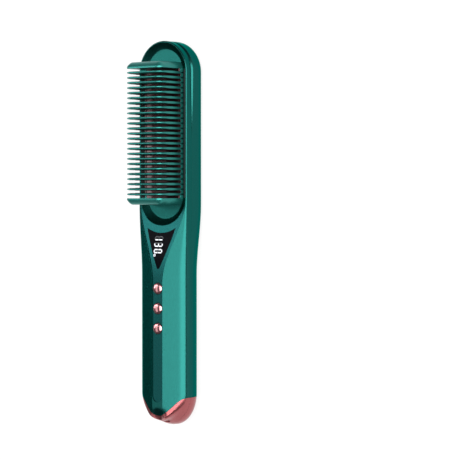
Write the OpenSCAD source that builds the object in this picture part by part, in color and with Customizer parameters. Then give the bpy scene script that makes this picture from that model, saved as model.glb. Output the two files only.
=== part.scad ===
/*
Hair straightening comb, lying on its back: +X runs from the end cap to the head, +Z is the way
the teeth point, and Y is the width. The origin is on the back face, under the middle of the part.
All lengths are in millimetres.
*/

/* [Overall] */
// Length from the tip of the end cap to the top of the head
overall_l = 280; // [270:1:300]
// Width across the head
head_w = 45.6; // [44:0.2:49]
// Width across the handle
handle_w = 42.4; // [40:0.2:43]
// Height of the head's face and of the ridges along the handle
ridge_z = 21.5; // [21:0.25:23]
// Height of the flat strip that carries the buttons
strip_z = 27.5; // [27:0.25:29]
// Width of the flat strip
strip_w = 9.8; // [9.4:0.2:12]
// Radius between the side and the back of the handle
handle_corner_r = 11.7; // [8:0.1:12]
// Radius between the side and the back of the head
head_corner_r = 8; // [6:0.1:10]

/* [Shell] */
// Wall of the moulded shells
wall = 2; // [1.6:0.1:2.2]
// Height of the seam between the front and back shells
seam_z = 15.5; // [14.5:0.1:15.6]
// Depth of the valley between face and back around the top of the head
valley_depth = 1.3; // [0.5:0.1:1.8]
// Depth of the front panel below the facets
panel_sink = 0.5; // [0.3:0.1:0.8]
// Thickness of the front panel
panel_t = 1.5; // [1.3:0.1:1.8]
// Thickness of the shell's shelf under the panel
shelf_t = 1.2; // [1:0.1:1.4]
// Clearance around pieces that are set into one another
seat_gap = 0.1; // [0.05:0.05:0.2]

/* [Head face] */
// Depth of the recess in the face
recess_depth = 3; // [2.5:0.1:3.2]
// Width of the recess's sloping ring
ring_w = 4.5; // [4:0.1:5]
// Width of the rim around the recess, outside the ring
rim_w = 1; // [0.8:0.1:1.2]

/* [Comb] */
// Number of thin teeth between the two end teeth
thin_teeth = 25; // [21:1:26]
// Distance from one tooth to the next
tooth_pitch = 3.66; // [3.4:0.02:3.8]
// Thickness of a thin tooth
tooth_t = 1.7; // [1.4:0.1:2]
// Thickness of an end tooth
end_tooth_t = 4.7; // [4:0.1:5.2]
// Rise of the teeth above the recess floor
tooth_rise = 25.5; // [22:0.5:28]
// Thickness of a tooth's plastic sides
tooth_leg = 1.3; // [1.1:0.1:1.5]
// Depth of the plastic tip beyond the metal fin
tooth_tip = 7.5; // [6:0.1:9]
// Radius of the teeth's outer corners
tooth_corner_r = 5; // [3:0.1:6]
// Thickness of a metal fin
fin_t = 2.1; // [1.9:0.1:2.3]

/* [Display] */
// Length of the display window
window_l = 27; // [24:0.5:29]
// Thickness of the display window
window_t = 1; // [0.8:0.1:1.1]
// Height of the digits
digit_h = 8; // [6:0.2:8.8]
// Width of a digit
digit_w = 3.6; // [3.2:0.1:4]
// Distance from one digit to the next
digit_pitch = 4.6; // [4.3:0.1:4.8]

/* [Buttons] */
// Diameter of a button
button_d = 8.2; // [7.4:0.1:8.3]
// Gap all round a button
button_gap = 0.25; // [0.2:0.05:0.3]
// Distance from one button to the next
button_pitch = 14.5; // [12:0.5:16]
// Height of a button above the panel
button_proud = 1.4; // [0.8:0.1:2]
// Travel of a button
button_travel = 0.4; // [0.25:0.05:0.5]

/* [End cap] */
// Length over which the end cap is rounded
dome_l = 24; // [20:0.5:26]
// Length of the end cap along its sides
cap_side_l = 21.3; // [20:0.1:23]
// Reach of the front shell's tongue into the end cap
tongue_l = 13.9; // [8:0.1:14.5]

/* [Power] */
// Diameter of a cell
cell_d = 16.2; // [14:0.1:16.4]
// Length of a cell
cell_l = 50; // [44:0.5:52]
// Diameter of the housing screws
screw_d = 2.4; // [2:0.1:2.6]
// Diameter of the wires
lead_d = 1.2; // [1:0.1:1.3]

/* [Hidden] */
$fn = 48;

// Colours
shell_green = "#1f8a7d";
panel_green = "#1c5a58";
tooth_green = "#2f8f85";
rose_gold = "#c07a80";
fin_maroon = "#4a1d22";

// Lengthwise places
tip_x = overall_l / 2;
dome_x = -tip_x + dome_l;
cap_x = -tip_x + cap_side_l;
head_x = tip_x - head_w / 2;
comb_l = (thin_teeth + 1) * tooth_pitch + 1.5 * end_tooth_t + 0.5 * tooth_t;
head_end_over = 6.8;
neck_x = head_x - comb_l + 2 * head_end_over;
comb_x = (head_x + neck_x) / 2;
slope_x0 = neck_x - 64;
slope_x1 = neck_x;
ramp_x0 = neck_x - 58;
ramp_x1 = neck_x - 6;

// Cross-section
facet_slope = (strip_z - ridge_z) / ((handle_w - strip_w) / 2);
handle_ridge_round = 2.4;
valley_half = 2.2;
seam_groove = 0.15;
valley_l = 50;

// Stack of pieces under the panel
panel_top = strip_z - panel_sink;
shelf_top = panel_top - panel_t;
shelf_bottom = shelf_top - shelf_t;
flange_gap = 0.05;
flange_t = 0.85;
flange_w = 0.9;
stem_bottom = shelf_bottom - flange_gap - flange_t;
plunger_rise = 0.75;
switch_top = stem_bottom - plunger_rise;
cell_z = wall + 0.6 + seat_gap + cell_d / 2;
board_bottom = cell_z + cell_d / 2 + 0.3;
board_t = 1.2;
board_top = board_bottom + board_t;

// Recess, its opening and the heater's stack
floor_z = ridge_z - recess_depth;
floor_t = wall;
rim_r = head_w / 2 - rim_w;
floor_r = rim_r - ring_w;
comb_hw = floor_r;
fin_hw = comb_hw - tooth_leg - seat_gap;
lip_w = 1.5;
lip_t = 0.5;
gasket_w = 1.3;
opening_hw = fin_hw + seat_gap - lip_w - gasket_w;
fin_row_l = comb_l - 2 * end_tooth_t;
opening_l = fin_row_l - 2;
base_top = floor_z + lip_t + 2.9;
fin_top = floor_z + tooth_rise - tooth_tip - seat_gap;
under_floor = floor_z - floor_t;
element_t = 2;
mica_t = 0.4;
clamp_t = 1;
clamp_z = under_floor - seat_gap - element_t - mica_t - clamp_t;
heater_screw_x = [for (i = [-1:1]) comb_x + i * fin_row_l * 0.43];
heater_screw_d = 2.5;

// Ceiling of the hollow handle, which steps down under the recess
step_x = neck_x - 23;
inner_top = panel_sink + panel_t + shelf_t;

// Display and buttons
window_x = neck_x - 53.5;
window_border = 3.6;
button_x = [for (i = [0:2]) neck_x - 67.6 - i * button_pitch];
module_l = 16;
module_w = 11;
module_x = window_x + 17.5;
strip_end_x = -tip_x + 17.3;
panel_lip = 0.15;
button_bore_d = button_d + 2 * button_gap;

// Cells and boards
cell_end_x = step_x - 2.5;
cell_gap = 1;
cradle_hw = cell_d / 2 + 1.5;
bulkhead_t = 2;
cradle_l = 2 * cell_l + cell_gap + 2 * bulkhead_t;
board_x0 = button_x[2] - 9;
board_x1 = neck_x - 29;
charge_z = 7;
charge_t = 1;
usb_w = 9;
usb_h = 3.2;
usb_l = 7.3;
usb_wall = 0.3;
usb_x = -tip_x + 0.8;

// Housing screws: two pairs in the handle, one at each end of the head
screw_y = handle_w / 2 - wall - 4.2;
screw_places = [
  [cap_x + 19, screw_y], [cap_x + 19, -screw_y], [neck_x - 58, screw_y], [neck_x - 58, -screw_y],
  [neck_x - 6.8, 0], [head_x + 10.6, 0]
];
boss_d = screw_d + 3.2;
boss_split_z = 11;
screw_head_d = screw_d * 1.9;
screw_head_t = 1.7;
head_bore_d = screw_head_d + 0.4;
back_boss_d = head_bore_d + 2;
screw_seat_z = 5.6;
screw_l = 12;

// Wires run between the cells' cradle and the screw bosses, and the board reaches just past them
lead_y = (cradle_hw + screw_y - back_boss_d / 2) / 2;
board_hw = lead_y + 1;

// Curves used by the skins
function mix(a, b, t) = a + (b - a) * t;
function smooth(t) = t <= 0 ? 0 : t >= 1 ? 1 : t * t * (3 - 2 * t);
function half_w(x) = mix(handle_w, head_w, smooth((x - ramp_x0) / (ramp_x1 - ramp_x0))) / 2;
function corner_r(x) =
  mix(handle_corner_r, head_corner_r, smooth((x - ramp_x0) / (ramp_x1 - ramp_x0)));
function top_z(x) = mix(strip_z, ridge_z, smooth((x - slope_x0) / (slope_x1 - slope_x0)));
function facet_y(x, z) = half_w(x) - (z - ridge_z) / facet_slope;
function valley(x) = mix(seam_groove, valley_depth, smooth((x - head_x + valley_l) / valley_l));
function ridge_round(x) =
  mix(handle_ridge_round, rim_w, smooth((x - ramp_x0) / (ramp_x1 - ramp_x0)));

// Point at distance d from c along the way c, e, o
function along(c, e, o, d) =
  norm(e - c) > d ? c + (e - c) * d / norm(e - c) : e + (o - e) * (d - norm(e - c)) / norm(o - e);

// Point at t on the curve from a to b that bends at c
function bend(a, c, b, t) = (1 - t) * (1 - t) * a + 2 * t * (1 - t) * c + t * t * b;

// Half of a cross-section at x, from the middle of the back to the middle of the front.
// Its last three points lie on the front face.
function wall_points(w, z0, z1) = [for (t = [0, 0.33, 0.67, 1]) [w, mix(z0, z1, t)]];
function outer_half(x) =
  let (w = half_w(x), r = corner_r(x), v = valley(x), d = ridge_round(x), zt = top_z(x))
  let (c = [w, ridge_z], e = [facet_y(x, zt), zt], o = [0, zt], p = along(c, e, o, d))
  concat(
    [[0, 0]],
    [for (a = [0:15:90]) [w - r + r * sin(a), r - r * cos(a)]],
    [[w, seam_z - valley_half], [w - v, seam_z]],
    wall_points(w, seam_z + valley_half, ridge_z - d),
    [for (t = [0.25, 0.5, 0.75]) bend([w, ridge_z - d], c, p, t)],
    [p, norm(e - c) > d ? e : p + (o - p) * 0.02, o]
  );

// The same for the hollow inside
function inner_ceiling(x) = x < step_x ? top_z(x) - inner_top : under_floor;
function inner_half(x) =
  let (w = half_w(x) - wall, r = corner_r(x) - wall, zt = inner_ceiling(x))
  let (zc = min(ridge_z - wall, zt), s = w - max(0.6, (zt - zc) / facet_slope))
  concat(
    [[0, wall]],
    [for (a = [0:18:90]) [w - r + r * sin(a), wall + r - r * cos(a)]],
    wall_points(w, min(seam_z + valley_half, zc - 0.9), zc - 0.5),
    [[w - 0.5, zc], [s, zt], [0, zt]]
  );

// Reach of the end cap beyond dome_x at height z, and how square its outline is there
function dome_reach(z) =
  z < 9 ? dome_l * sqrt(1 - 0.6 * pow((9 - z) / 9, 2))
  : dome_l - 3 * smooth((z - 9) / 14) - 1.2 * smooth((z - 25) / 2.5);
function dome_power(z) = 2 / mix(2.1, 1.35, smooth((z - 12) / 9));

// The front sinks in the middle toward the tip of the end cap
dip_depth = 4.2;

// Ribs of a skin: around the end cap, along the body, then around the top of the head
dome_angles = [90, 78, 66, 54, 42, 30, 18, 8];
body_x = concat(
  [dome_x, slope_x0], [for (i = [1:9]) slope_x0 + i * (neck_x - slope_x0) / 9],
  [neck_x + 30, neck_x + 60, head_x]
);
hollow_x = [
  dome_x, slope_x0, slope_x0 + 4, slope_x0 + 16, slope_x0 + 30, step_x - 0.01, step_x + 0.8, neck_x,
  head_x
];
head_angles = [for (i = [1:9]) i * 10];
function dip(x, y) = dip_depth * smooth((-x - tip_x + 20) / 17) * (1 - smooth(abs(y) / 12));
function dome_rib(half, a, inset) =
  let (last = len(half) - 1, w = half[last - 3][0], zr = ridge_z - inset, zt = half[last][1])
  let (z0 = seam_z + valley_half, z1 = zr - (inset > 0 ? 0.5 : ridge_round(dome_x)))
  let (lift = front_z(w * pow(cos(a), dome_power(zr)), w, zr, zt) - zr)
  [
    for (i = [0:last])
      let (p = half[i], z = p[1] + lift * min(1, max(0, (p[1] - z0) / (z1 - z0))))
      let (y = p[0] * pow(cos(a), dome_power(i > last - 3 ? zr : z)))
      let (zz = i > last - 3 ? front_z(y, w, zr, zt) : z)
      let (x = dome_x - (dome_reach(zz) - inset) * sin(a))
      [x, y, i > last - 3 ? zz - dip(x, y) : zz]
  ];
function front_z(y, w, zr, zt) = min(zt, zr + (w - y) * facet_slope);
function head_rib(half, a) = [for (p = half) [head_x + p[0] * sin(a), p[0] * cos(a), p[1]]];

// Closed skin through ribs on the +Y side, mirrored to the other side; its first and last ribs lie
// on the plane between the sides
function other_side(p) = [p[0], -p[1], p[2]];
module skin(ribs) {
  n = len(ribs[0]) - 1;
  last = len(ribs) - 1;
  points = [for (rib = ribs, k = [0:2 * n - 1]) k <= n ? rib[k] : other_side(rib[2 * n - k])];
  function at(j, k) = j * 2 * n + ((j == 0 || j == last) && k > n ? 2 * n - k : k % (2 * n));
  function differ(f) =
    let (a = points[f[0]], b = points[f[1]], c = points[f[2]]) a != b && b != c && c != a;
  faces = [
    for (j = [0:last - 1], k = [0:2 * n - 1])
      let (m = (k + 1) % (2 * n), a = at(j, k), b = at(j, m), c = at(j + 1, m), d = at(j + 1, k))
      each [[a, d, c], [a, c, b]]
  ];
  polyhedron(points, [for (f = faces) if (differ(f)) f]);
}

module outer_skin() {
  skin(concat(
    [for (a = dome_angles) dome_rib(outer_half(dome_x), a, 0)],
    [for (x = body_x) [for (p = outer_half(x)) [x, p[0], p[1]]]],
    [for (a = head_angles) head_rib(outer_half(head_x), a)]
  ));
}

module hollow() {
  skin(concat(
    [for (a = dome_angles) dome_rib(inner_half(dome_x), a, wall)],
    [for (x = hollow_x) [for (p = inner_half(x)) [x, p[0], p[1]]]],
    [for (a = head_angles) head_rib(inner_half(head_x), a)]
  ));
}

// Outline of the joint between the front shell and the end cap, seen from the front
function tongue_x(y) =
  cap_x - tongue_l * pow(0.5 + 0.5 * cos(180 * min(1, abs(y) / (handle_w / 2))), 0.8);
module behind_joint(grow) {
  linear_extrude(60)
    polygon(concat(
      [[-tip_x - 10, -40], [cap_x + grow, -40]],
      [for (i = [-20:20]) let (y = i * handle_w / 40) [tongue_x(y) + grow, y]],
      [[cap_x + grow, 40], [-tip_x - 10, 40]]
    ));
}
module cap_region() {
  translate([0, 0, seam_z]) behind_joint(0);
  translate([-tip_x - 10, -40, -1]) cube([tip_x + 10 + cap_x, 80, seam_z + 1]);
}

// Stadium-shaped recess: a ring that slopes up from the floor to the face, and upright walls above
module recess() {
  up = recess_depth + 6;
  half = [[floor_r, 0], [rim_r, recess_depth], [rim_r, up]];
  for (x = [neck_x, head_x])
    translate([x, 0, floor_z]) {
      cylinder(r1 = floor_r, r2 = rim_r, h = recess_depth);
      translate([0, 0, recess_depth]) cylinder(r = rim_r, h = up - recess_depth);
    }
  translate([neck_x, 0, floor_z])
    rotate([90, 0, 90])
      linear_extrude(head_x - neck_x)
        polygon(concat(half, [for (i = [2:-1:0]) [-half[i][0], half[i][1]]]));
}

// Band between two depths below the front surface, over a run along X
module front_band(x0, x1, depth0, depth1) {
  steps = 24;
  xs = [for (i = [0:steps]) x0 + (x1 - x0) * i / steps];
  rotate([90, 0, 0])
    linear_extrude(60, center = true)
      polygon(concat(
        [for (x = xs) [x, top_z(x) - depth0]],
        [for (i = [steps:-1:0]) [xs[i], top_z(xs[i]) - depth1]]
      ));
}

// Both sides of an outline from its points on the +Y side
function both_sides(half) = concat(half, [for (i = [len(half) - 1:-1:0]) [half[i][0], -half[i][1]]]);

// Quarter of a round end that points toward the end cap
function round_end(x, r) = [for (a = [4:8:84]) [x + r - r * cos(a), r * sin(a)]];

// Plan outline of the front panel, moved out by grow
panel_x1 = neck_x - 10;
module panel_plan(grow) {
  steps = 20;
  end_r = strip_w / 2 - panel_lip + grow;
  xs = [for (i = [0:steps]) mix(slope_x0, panel_x1 + grow, i / steps)];
  translate([0, 0, ridge_z - 8])
    linear_extrude(30)
      polygon(both_sides(concat(
        round_end(strip_end_x - grow, end_r),
        [for (x = xs) [x, facet_y(x, top_z(x)) - panel_lip + grow]]
      )));
}

// Plan outline of the display window: an arc that follows the recess, near-straight sides, a round tip
module window_plan(grow) {
  tip_r = 1.7;
  x0 = window_x + 0.9 * tip_r;
  x1 = window_x + window_l + 4;
  corner_y = facet_y(x1, top_z(x1)) - panel_lip - window_border;
  bulge = 0.7;
  translate([0, 0, ridge_z - 8])
    difference() {
      linear_extrude(30)
        polygon(both_sides(concat(
          round_end(window_x - grow, tip_r + grow),
          [
            for (t = [0.02:0.14:1])
              [mix(x0, x1, t), mix(tip_r, corner_y, t) + 4 * bulge * t * (1 - t) + grow]
          ]
        )));
      translate([neck_x, 0, -1]) cylinder(r = rim_r + 5.4 - grow, h = 40, $fn = 96);
    }
}

module button_bores(d) {
  for (x = button_x) translate([x, 0, shelf_bottom - 5]) cylinder(d = d, h = 20);
}

module screw_bores() {
  for (p = screw_places) translate([p[0], p[1], screw_seat_z]) cylinder(d = screw_d, h = screw_l + 0.2);
}

// Everything below a height
module below(z) {
  translate([-tip_x - 10, -40, z - 60]) cube([2 * tip_x + 20, 80, 60]);
}

module front_housing() {
  color(shell_green)
    difference() {
      union() {
        difference() {
          outer_skin();
          hollow();
          below(seam_z);
          behind_joint(0);
        }
        for (p = screw_places)
          translate([p[0], p[1], boss_split_z])
            cylinder(d = boss_d, h = (p[1] == 0 ? floor_z : ridge_z) - boss_split_z);
      }
      recess();
      translate([comb_x - opening_l / 2, -opening_hw, under_floor - 1])
        cube([opening_l, 2 * opening_hw, floor_t + 2]);
      intersection() {
        front_band(strip_end_x - 2, panel_x1 + 1, -8, panel_sink + panel_t);
        panel_plan(seat_gap);
      }
      translate([module_x - module_l / 2 - seat_gap, -module_w / 2 - seat_gap, shelf_bottom - 6])
        cube([module_l + 2 * seat_gap, module_w + 2 * seat_gap, 20]);
      button_bores(button_bore_d);
      screw_bores();
    }
}

module back_housing() {
  color(shell_green)
    difference() {
      union() {
        difference() {
          outer_skin();
          hollow();
        }
        intersection() {
          outer_skin();
          for (p = screw_places)
            translate([p[0], p[1], wall / 2]) cylinder(d = back_boss_d, h = boss_split_z - wall / 2);
        }
      }
      translate([-tip_x - 10, -40, seam_z]) cube([2 * tip_x + 20, 80, 40]);
      translate([-tip_x - 10, -40, -1]) cube([tip_x + 10 + cap_x, 80, seam_z + 2]);
      for (p = screw_places) {
        translate([p[0], p[1], -1]) cylinder(d = head_bore_d, h = screw_seat_z + 1);
        translate([p[0], p[1], -1]) cylinder(d = screw_d + 2 * seat_gap, h = seam_z + 2);
      }
    }
}

module end_cap() {
  tab_l = cap_side_l - 12;
  tab_y = handle_w / 2 - wall - seat_gap;
  color(rose_gold)
    difference() {
      union() {
        intersection() {
          difference() {
            outer_skin();
            hollow();
          }
          cap_region();
        }
        intersection() {
          outer_skin();
          union() {
            for (side = [0, 1])
              mirror([0, side, 0])
                translate([cap_x - tab_l, tab_y - 1.7, seam_z - 3]) cube([tab_l + 5, 1.7, 5.5]);
            translate([cap_x - 8, -6, wall / 2]) cube([6, 12, charge_z - wall / 2]);
          }
        }
      }
      translate([-tip_x - 5, 0, charge_z + charge_t + usb_h / 2]) usb_bar(usb_w + 0.4, usb_h + 0.4, 12);
    }
}

module front_panel() {
  color(panel_green)
    difference() {
      intersection() {
        front_band(strip_end_x - 2, panel_x1 + 1, panel_sink, panel_sink + panel_t);
        panel_plan(0);
      }
      recess();
      intersection() {
        front_band(window_x - 1, window_x + window_l + 6, -1, panel_sink + window_t);
        window_plan(seat_gap / 2);
      }
      translate([module_x - module_l / 2, -module_w / 2, shelf_bottom - 6]) cube([module_l, module_w, 20]);
      button_bores(button_bore_d);
    }
}

module display_window() {
  color("#0b0c10")
    intersection() {
      front_band(window_x - 1, window_x + window_l + 6, panel_sink, panel_sink + window_t);
      window_plan(0);
    }
}

// Seven-segment digits, read from the head toward the end cap: which of the bars a to g are lit
SEGMENTS = [[0, 1, 1, 0, 0, 0, 0], [1, 1, 1, 1, 0, 0, 1], [1, 1, 1, 1, 1, 1, 0]];
digit_rise = 0.12;
bar_w = 0.85;
bar_gap = 0.12;
digits_x = window_x + window_l - 4.7;
digits_y = 1.3;
ring_r = 1;
module digit(lit) {
  a = (digit_w - bar_w) / 2;
  b = (digit_h - bar_w) / 2;
  bars = [
    [[0, b], 0, a], [[a, b / 2], 90, b / 2], [[a, -b / 2], 90, b / 2], [[0, -b], 0, a],
    [[-a, -b / 2], 90, b / 2], [[-a, b / 2], 90, b / 2], [[0, 0], 0, a]
  ];
  for (i = [0:6])
    if (lit[i] == 1) {
      l = bars[i][2] - bar_gap;
      m = l - bar_w / 2;
      translate(bars[i][0])
        rotate(bars[i][1])
          polygon([[-l, 0], [-m, bar_w / 2], [m, bar_w / 2], [l, 0], [m, -bar_w / 2], [-m, -bar_w / 2]]);
    }
}
module display_digits() {
  color("white")
    intersection() {
      front_band(window_x, window_x + window_l + 4, panel_sink - digit_rise, panel_sink);
      translate([0, digits_y, ridge_z - 8])
        linear_extrude(30) {
          for (i = [0:2]) translate([digits_x - i * digit_pitch, 0]) rotate(180) digit(SEGMENTS[i]);
          translate([digits_x - 2 * digit_pitch - digit_w / 2 - 1.4, digit_h / 2 - ring_r])
            difference() {
              circle(ring_r);
              circle(ring_r / 2);
            }
        }
    }
}

module display_module() {
  rise = 0.05;
  color("#2b2f33")
    intersection() {
      translate([module_x - module_l / 2 + seat_gap, -module_w / 2 + seat_gap, board_top])
        cube([module_l - 2 * seat_gap, module_w - 2 * seat_gap, 12]);
      front_band(module_x - module_l, module_x + module_l, panel_sink + window_t + rise, 20);
    }
}

// A tooth's outline across the comb, and its thickness from root to tip
module tooth_front(t) {
  h = tooth_rise;
  r = tooth_corner_r;
  rotate([90, 0, 90])
    linear_extrude(t, center = true) {
      translate([-comb_hw, 0]) square([2 * comb_hw, h - r]);
      translate([-comb_hw + r, 0]) square([2 * (comb_hw - r), h]);
      for (side = [-1, 1]) translate([side * (comb_hw - r), h - r]) circle(r);
    }
}
module tooth_side(points) {
  rotate([90, 0, 0]) linear_extrude(2 * comb_hw + 2, center = true) polygon(points);
}
module thin_tooth() {
  h = tooth_rise;
  t = tooth_t / 2;
  difference() {
    intersection() {
      tooth_front(tooth_t + 1);
      tooth_side([
        [-t, 0], [t, 0], [t, h - 2.4], [0.85 * t, h - 1], [0.6 * t, h - 0.3], [0.3 * t, h],
        [-0.3 * t, h], [-0.6 * t, h - 0.3], [-0.85 * t, h - 1], [-t, h - 2.4]
      ]);
    }
    translate([-tooth_t, -comb_hw + tooth_leg, -1])
      cube([2 * tooth_t, 2 * (comb_hw - tooth_leg), h - tooth_tip + 1]);
  }
}
// End tooth, its flat inner face at x = 0 and its rounded outer face toward +X
module end_tooth() {
  h = tooth_rise;
  t = end_tooth_t;
  intersection() {
    translate([t / 2, 0, 0]) tooth_front(t);
    tooth_side([
      [0, 0], [t, 0], [t, h - 4.5], [0.93 * t, h - 2.7], [0.74 * t, h - 1.2], [0.45 * t, h - 0.3],
      [0.25 * t, h], [0, h]
    ]);
  }
}

module comb_guard() {
  rail_h = 2.6;
  color(tooth_green)
    translate([comb_x, 0, floor_z]) {
      for (i = [0:thin_teeth - 1])
        translate([(i - (thin_teeth - 1) / 2) * tooth_pitch, 0, 0]) thin_tooth();
      for (side = [0, 1]) {
        mirror([side, 0, 0])
          difference() {
            translate([fin_row_l / 2, 0, 0]) end_tooth();
            ring_around();
          }
        mirror([0, side, 0]) {
          translate([-fin_row_l / 2 - 1, comb_hw - tooth_leg, 0]) cube([fin_row_l + 2, tooth_leg, rail_h]);
          translate([-fin_row_l / 2 - 1, comb_hw - tooth_leg - lip_w, 0])
            cube([fin_row_l + 2, lip_w + tooth_leg / 2, lip_t]);
        }
      }
    }
}

// The part of the recess's ring that the end tooth's corners stand in, with the comb's middle as origin
module ring_around() {
  end_l = 20;
  difference() {
    translate([fin_row_l / 2, -comb_hw - 1, -1]) cube([end_l, 2 * comb_hw + 2, recess_depth + 1]);
    translate([-comb_x, 0, -floor_z]) recess();
  }
}

module heater_comb() {
  fin_r = tooth_corner_r - tooth_leg;
  base_l = fin_row_l - 2 * seat_gap;
  color(fin_maroon)
    translate([comb_x, 0, 0])
      difference() {
        union() {
          translate([-base_l / 2, -fin_hw, floor_z + lip_t])
            cube([base_l, 2 * fin_hw, base_top - floor_z - lip_t]);
          translate([-opening_l / 2 + seat_gap, -opening_hw + seat_gap, under_floor - seat_gap])
            cube([opening_l - 2 * seat_gap, 2 * (opening_hw - seat_gap), floor_t + lip_t + 1]);
          for (i = [0:thin_teeth - 1])
            translate([(i - (thin_teeth - 1) / 2) * tooth_pitch - fin_t / 2, 0, 0])
              rotate([90, 0, 90])
                linear_extrude(fin_t) {
                  translate([-fin_hw, base_top - 1]) square([2 * fin_hw, fin_top - fin_r - base_top + 1]);
                  translate([-fin_hw + fin_r, base_top]) square([2 * (fin_hw - fin_r), fin_top - base_top]);
                  for (side = [-1, 1]) translate([side * (fin_hw - fin_r), fin_top - fin_r]) circle(fin_r);
                }
        }
        for (x = heater_screw_x)
          translate([x - comb_x, 0, under_floor - 2]) cylinder(d = heater_screw_d, h = 6);
      }
}

module heater_gasket() {
  color("#c9c2b8")
    translate([comb_x, 0, floor_z])
      difference() {
        translate([-fin_row_l / 2 + 0.2, -opening_hw - gasket_w + seat_gap, 0])
          cube([fin_row_l - 0.4, 2 * (opening_hw + gasket_w - seat_gap), lip_t]);
        translate([-opening_l / 2, -opening_hw, -1]) cube([opening_l, 2 * opening_hw, 3]);
      }
}

element_hw = lead_y - 1.4;
element_l = fin_row_l * 0.33;
element_x = fin_row_l * 0.215;
element_z = under_floor - seat_gap - element_t;
module heating_element() {
  color("#d8d4cc")
    for (side = [-1, 1])
      translate([comb_x + side * element_x - element_l / 2, -element_hw, element_z])
        cube([element_l, 2 * element_hw, element_t]);
}

module heater_screw_holes() {
  for (x = heater_screw_x) translate([x, 0, clamp_z - 1]) cylinder(d = heater_screw_d + 0.4, h = 8);
}

module insulation_sheet() {
  color("#b9a27a")
    difference() {
      translate([comb_x - opening_l / 2, -opening_hw, clamp_z + clamp_t])
        cube([opening_l, 2 * opening_hw, mica_t]);
      heater_screw_holes();
    }
}

module heater_clamp() {
  flange_y = opening_hw + 1.6;
  color("silver")
    difference() {
      union() {
        translate([comb_x - opening_l / 2, -flange_y, clamp_z]) cube([opening_l, 2 * flange_y, clamp_t]);
        for (side = [0, 1])
          mirror([0, side, 0])
            translate([comb_x - opening_l / 2, flange_y - clamp_t, clamp_z])
              cube([opening_l, clamp_t, under_floor - clamp_z]);
      }
      heater_screw_holes();
    }
}

module heater_screws() {
  color("dimgray")
    for (x = heater_screw_x) {
      translate([x, 0, clamp_z - 1.4])
        difference() {
          cylinder(d = 4.6, h = 1.4);
          translate([0, 0, -1]) cylinder(d = 2, h = 1.7, $fn = 6);
        }
      translate([x, 0, clamp_z - 0.5]) cylinder(d = heater_screw_d, h = under_floor - clamp_z + 3.5);
    }
}

thermistor_y = 6;
module thermistor() {
  color("#26282b")
    translate([comb_x, thermistor_y, element_z]) cylinder(d = 3, h = element_t);
}

module thermal_fuse() {
  fuse_l = 11;
  color("ivory")
    translate([comb_x - fuse_l / 2, 5, clamp_z - 3.4]) cube([fuse_l, 4, 3.4]);
}

// Round wire through a list of corners, with ball joints at the corners
module wire(corners) {
  for (i = [0:len(corners) - 2]) {
    a = corners[i];
    b = corners[i + 1];
    l = norm(b - a);
    translate(a)
      rotate([0, acos((b - a)[2] / l), atan2((b - a)[1], (b - a)[0])])
        cylinder(d = lead_d, h = l);
  }
  for (i = [1:len(corners) - 2]) translate(corners[i]) sphere(d = lead_d);
}

module heater_leads() {
  z = element_z + element_t / 2;
  x0 = board_x1 - 3;
  x1 = comb_x - element_x - element_l / 2 + 4;
  color("#a33a2c")
    for (side = [0, 1])
      mirror([0, side, 0])
        wire([[x0, lead_y, board_bottom], [x0, lead_y, z], [x1, lead_y, z], [x1, element_hw, z]]);
}

module battery_leads() {
  x0 = cap_x + 1;
  x1 = board_x0 + 2;
  z0 = charge_z + charge_t;
  z = z0 + 1.4;
  color("#2d4f9c")
    for (side = [0, 1])
      mirror([0, side, 0])
        wire([[x0, lead_y, z0], [x0, lead_y, z], [x1, lead_y, z], [x1, lead_y, board_bottom]]);
}

// Button: a domed cap on a stem that ends in a flange under the shelf
module button(x) {
  top = panel_top + button_proud;
  r = button_d / 2;
  dome = 1.1;
  ball = (r * r + dome * dome) / (2 * dome);
  color(rose_gold)
    translate([x, 0, 0]) {
      intersection() {
        translate([0, 0, stem_bottom]) cylinder(r = r, h = top - stem_bottom);
        translate([0, 0, top - ball]) sphere(ball, $fn = 96);
      }
      translate([0, 0, stem_bottom]) cylinder(r = r + flange_w, h = flange_t);
    }
}
module power_button() { button(button_x[0]); }
module heat_up_button() { button(button_x[1]); }
module heat_down_button() { button(button_x[2]); }

plunger_d = 3.2;
plunger_sink = 0.6;
module plunger(x) {
  color("#e6e2da")
    translate([x, 0, switch_top - plunger_sink])
      cylinder(d = plunger_d, h = plunger_rise + plunger_sink);
}
module power_plunger() { plunger(button_x[0]); }
module heat_up_plunger() { plunger(button_x[1]); }
module heat_down_plunger() { plunger(button_x[2]); }

module switch_bodies() {
  switch_w = 6;
  color("#34383c")
    for (x = button_x)
      translate([x, 0, board_top])
        difference() {
          translate([-switch_w / 2, -switch_w / 2, 0]) cube([switch_w, switch_w, switch_top - board_top]);
          translate([0, 0, switch_top - board_top - plunger_sink - button_travel - 0.4])
            cylinder(d = plunger_d + 0.6, h = 4);
        }
}

module main_board() {
  color("#1f5c33")
    translate([board_x0, -board_hw, board_bottom]) cube([board_x1 - board_x0, 2 * board_hw, board_t]);
}

module cell(x) {
  color("#3f6f9f")
    translate([x, 0, cell_z]) rotate([0, 90, 0]) {
      cylinder(d = cell_d, h = cell_l - 1);
      cylinder(d = cell_d * 0.35, h = cell_l);
    }
}
module front_cell() { cell(cell_end_x - cell_l); }
module rear_cell() { cell(cell_end_x - 2 * cell_l - cell_gap); }

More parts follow.
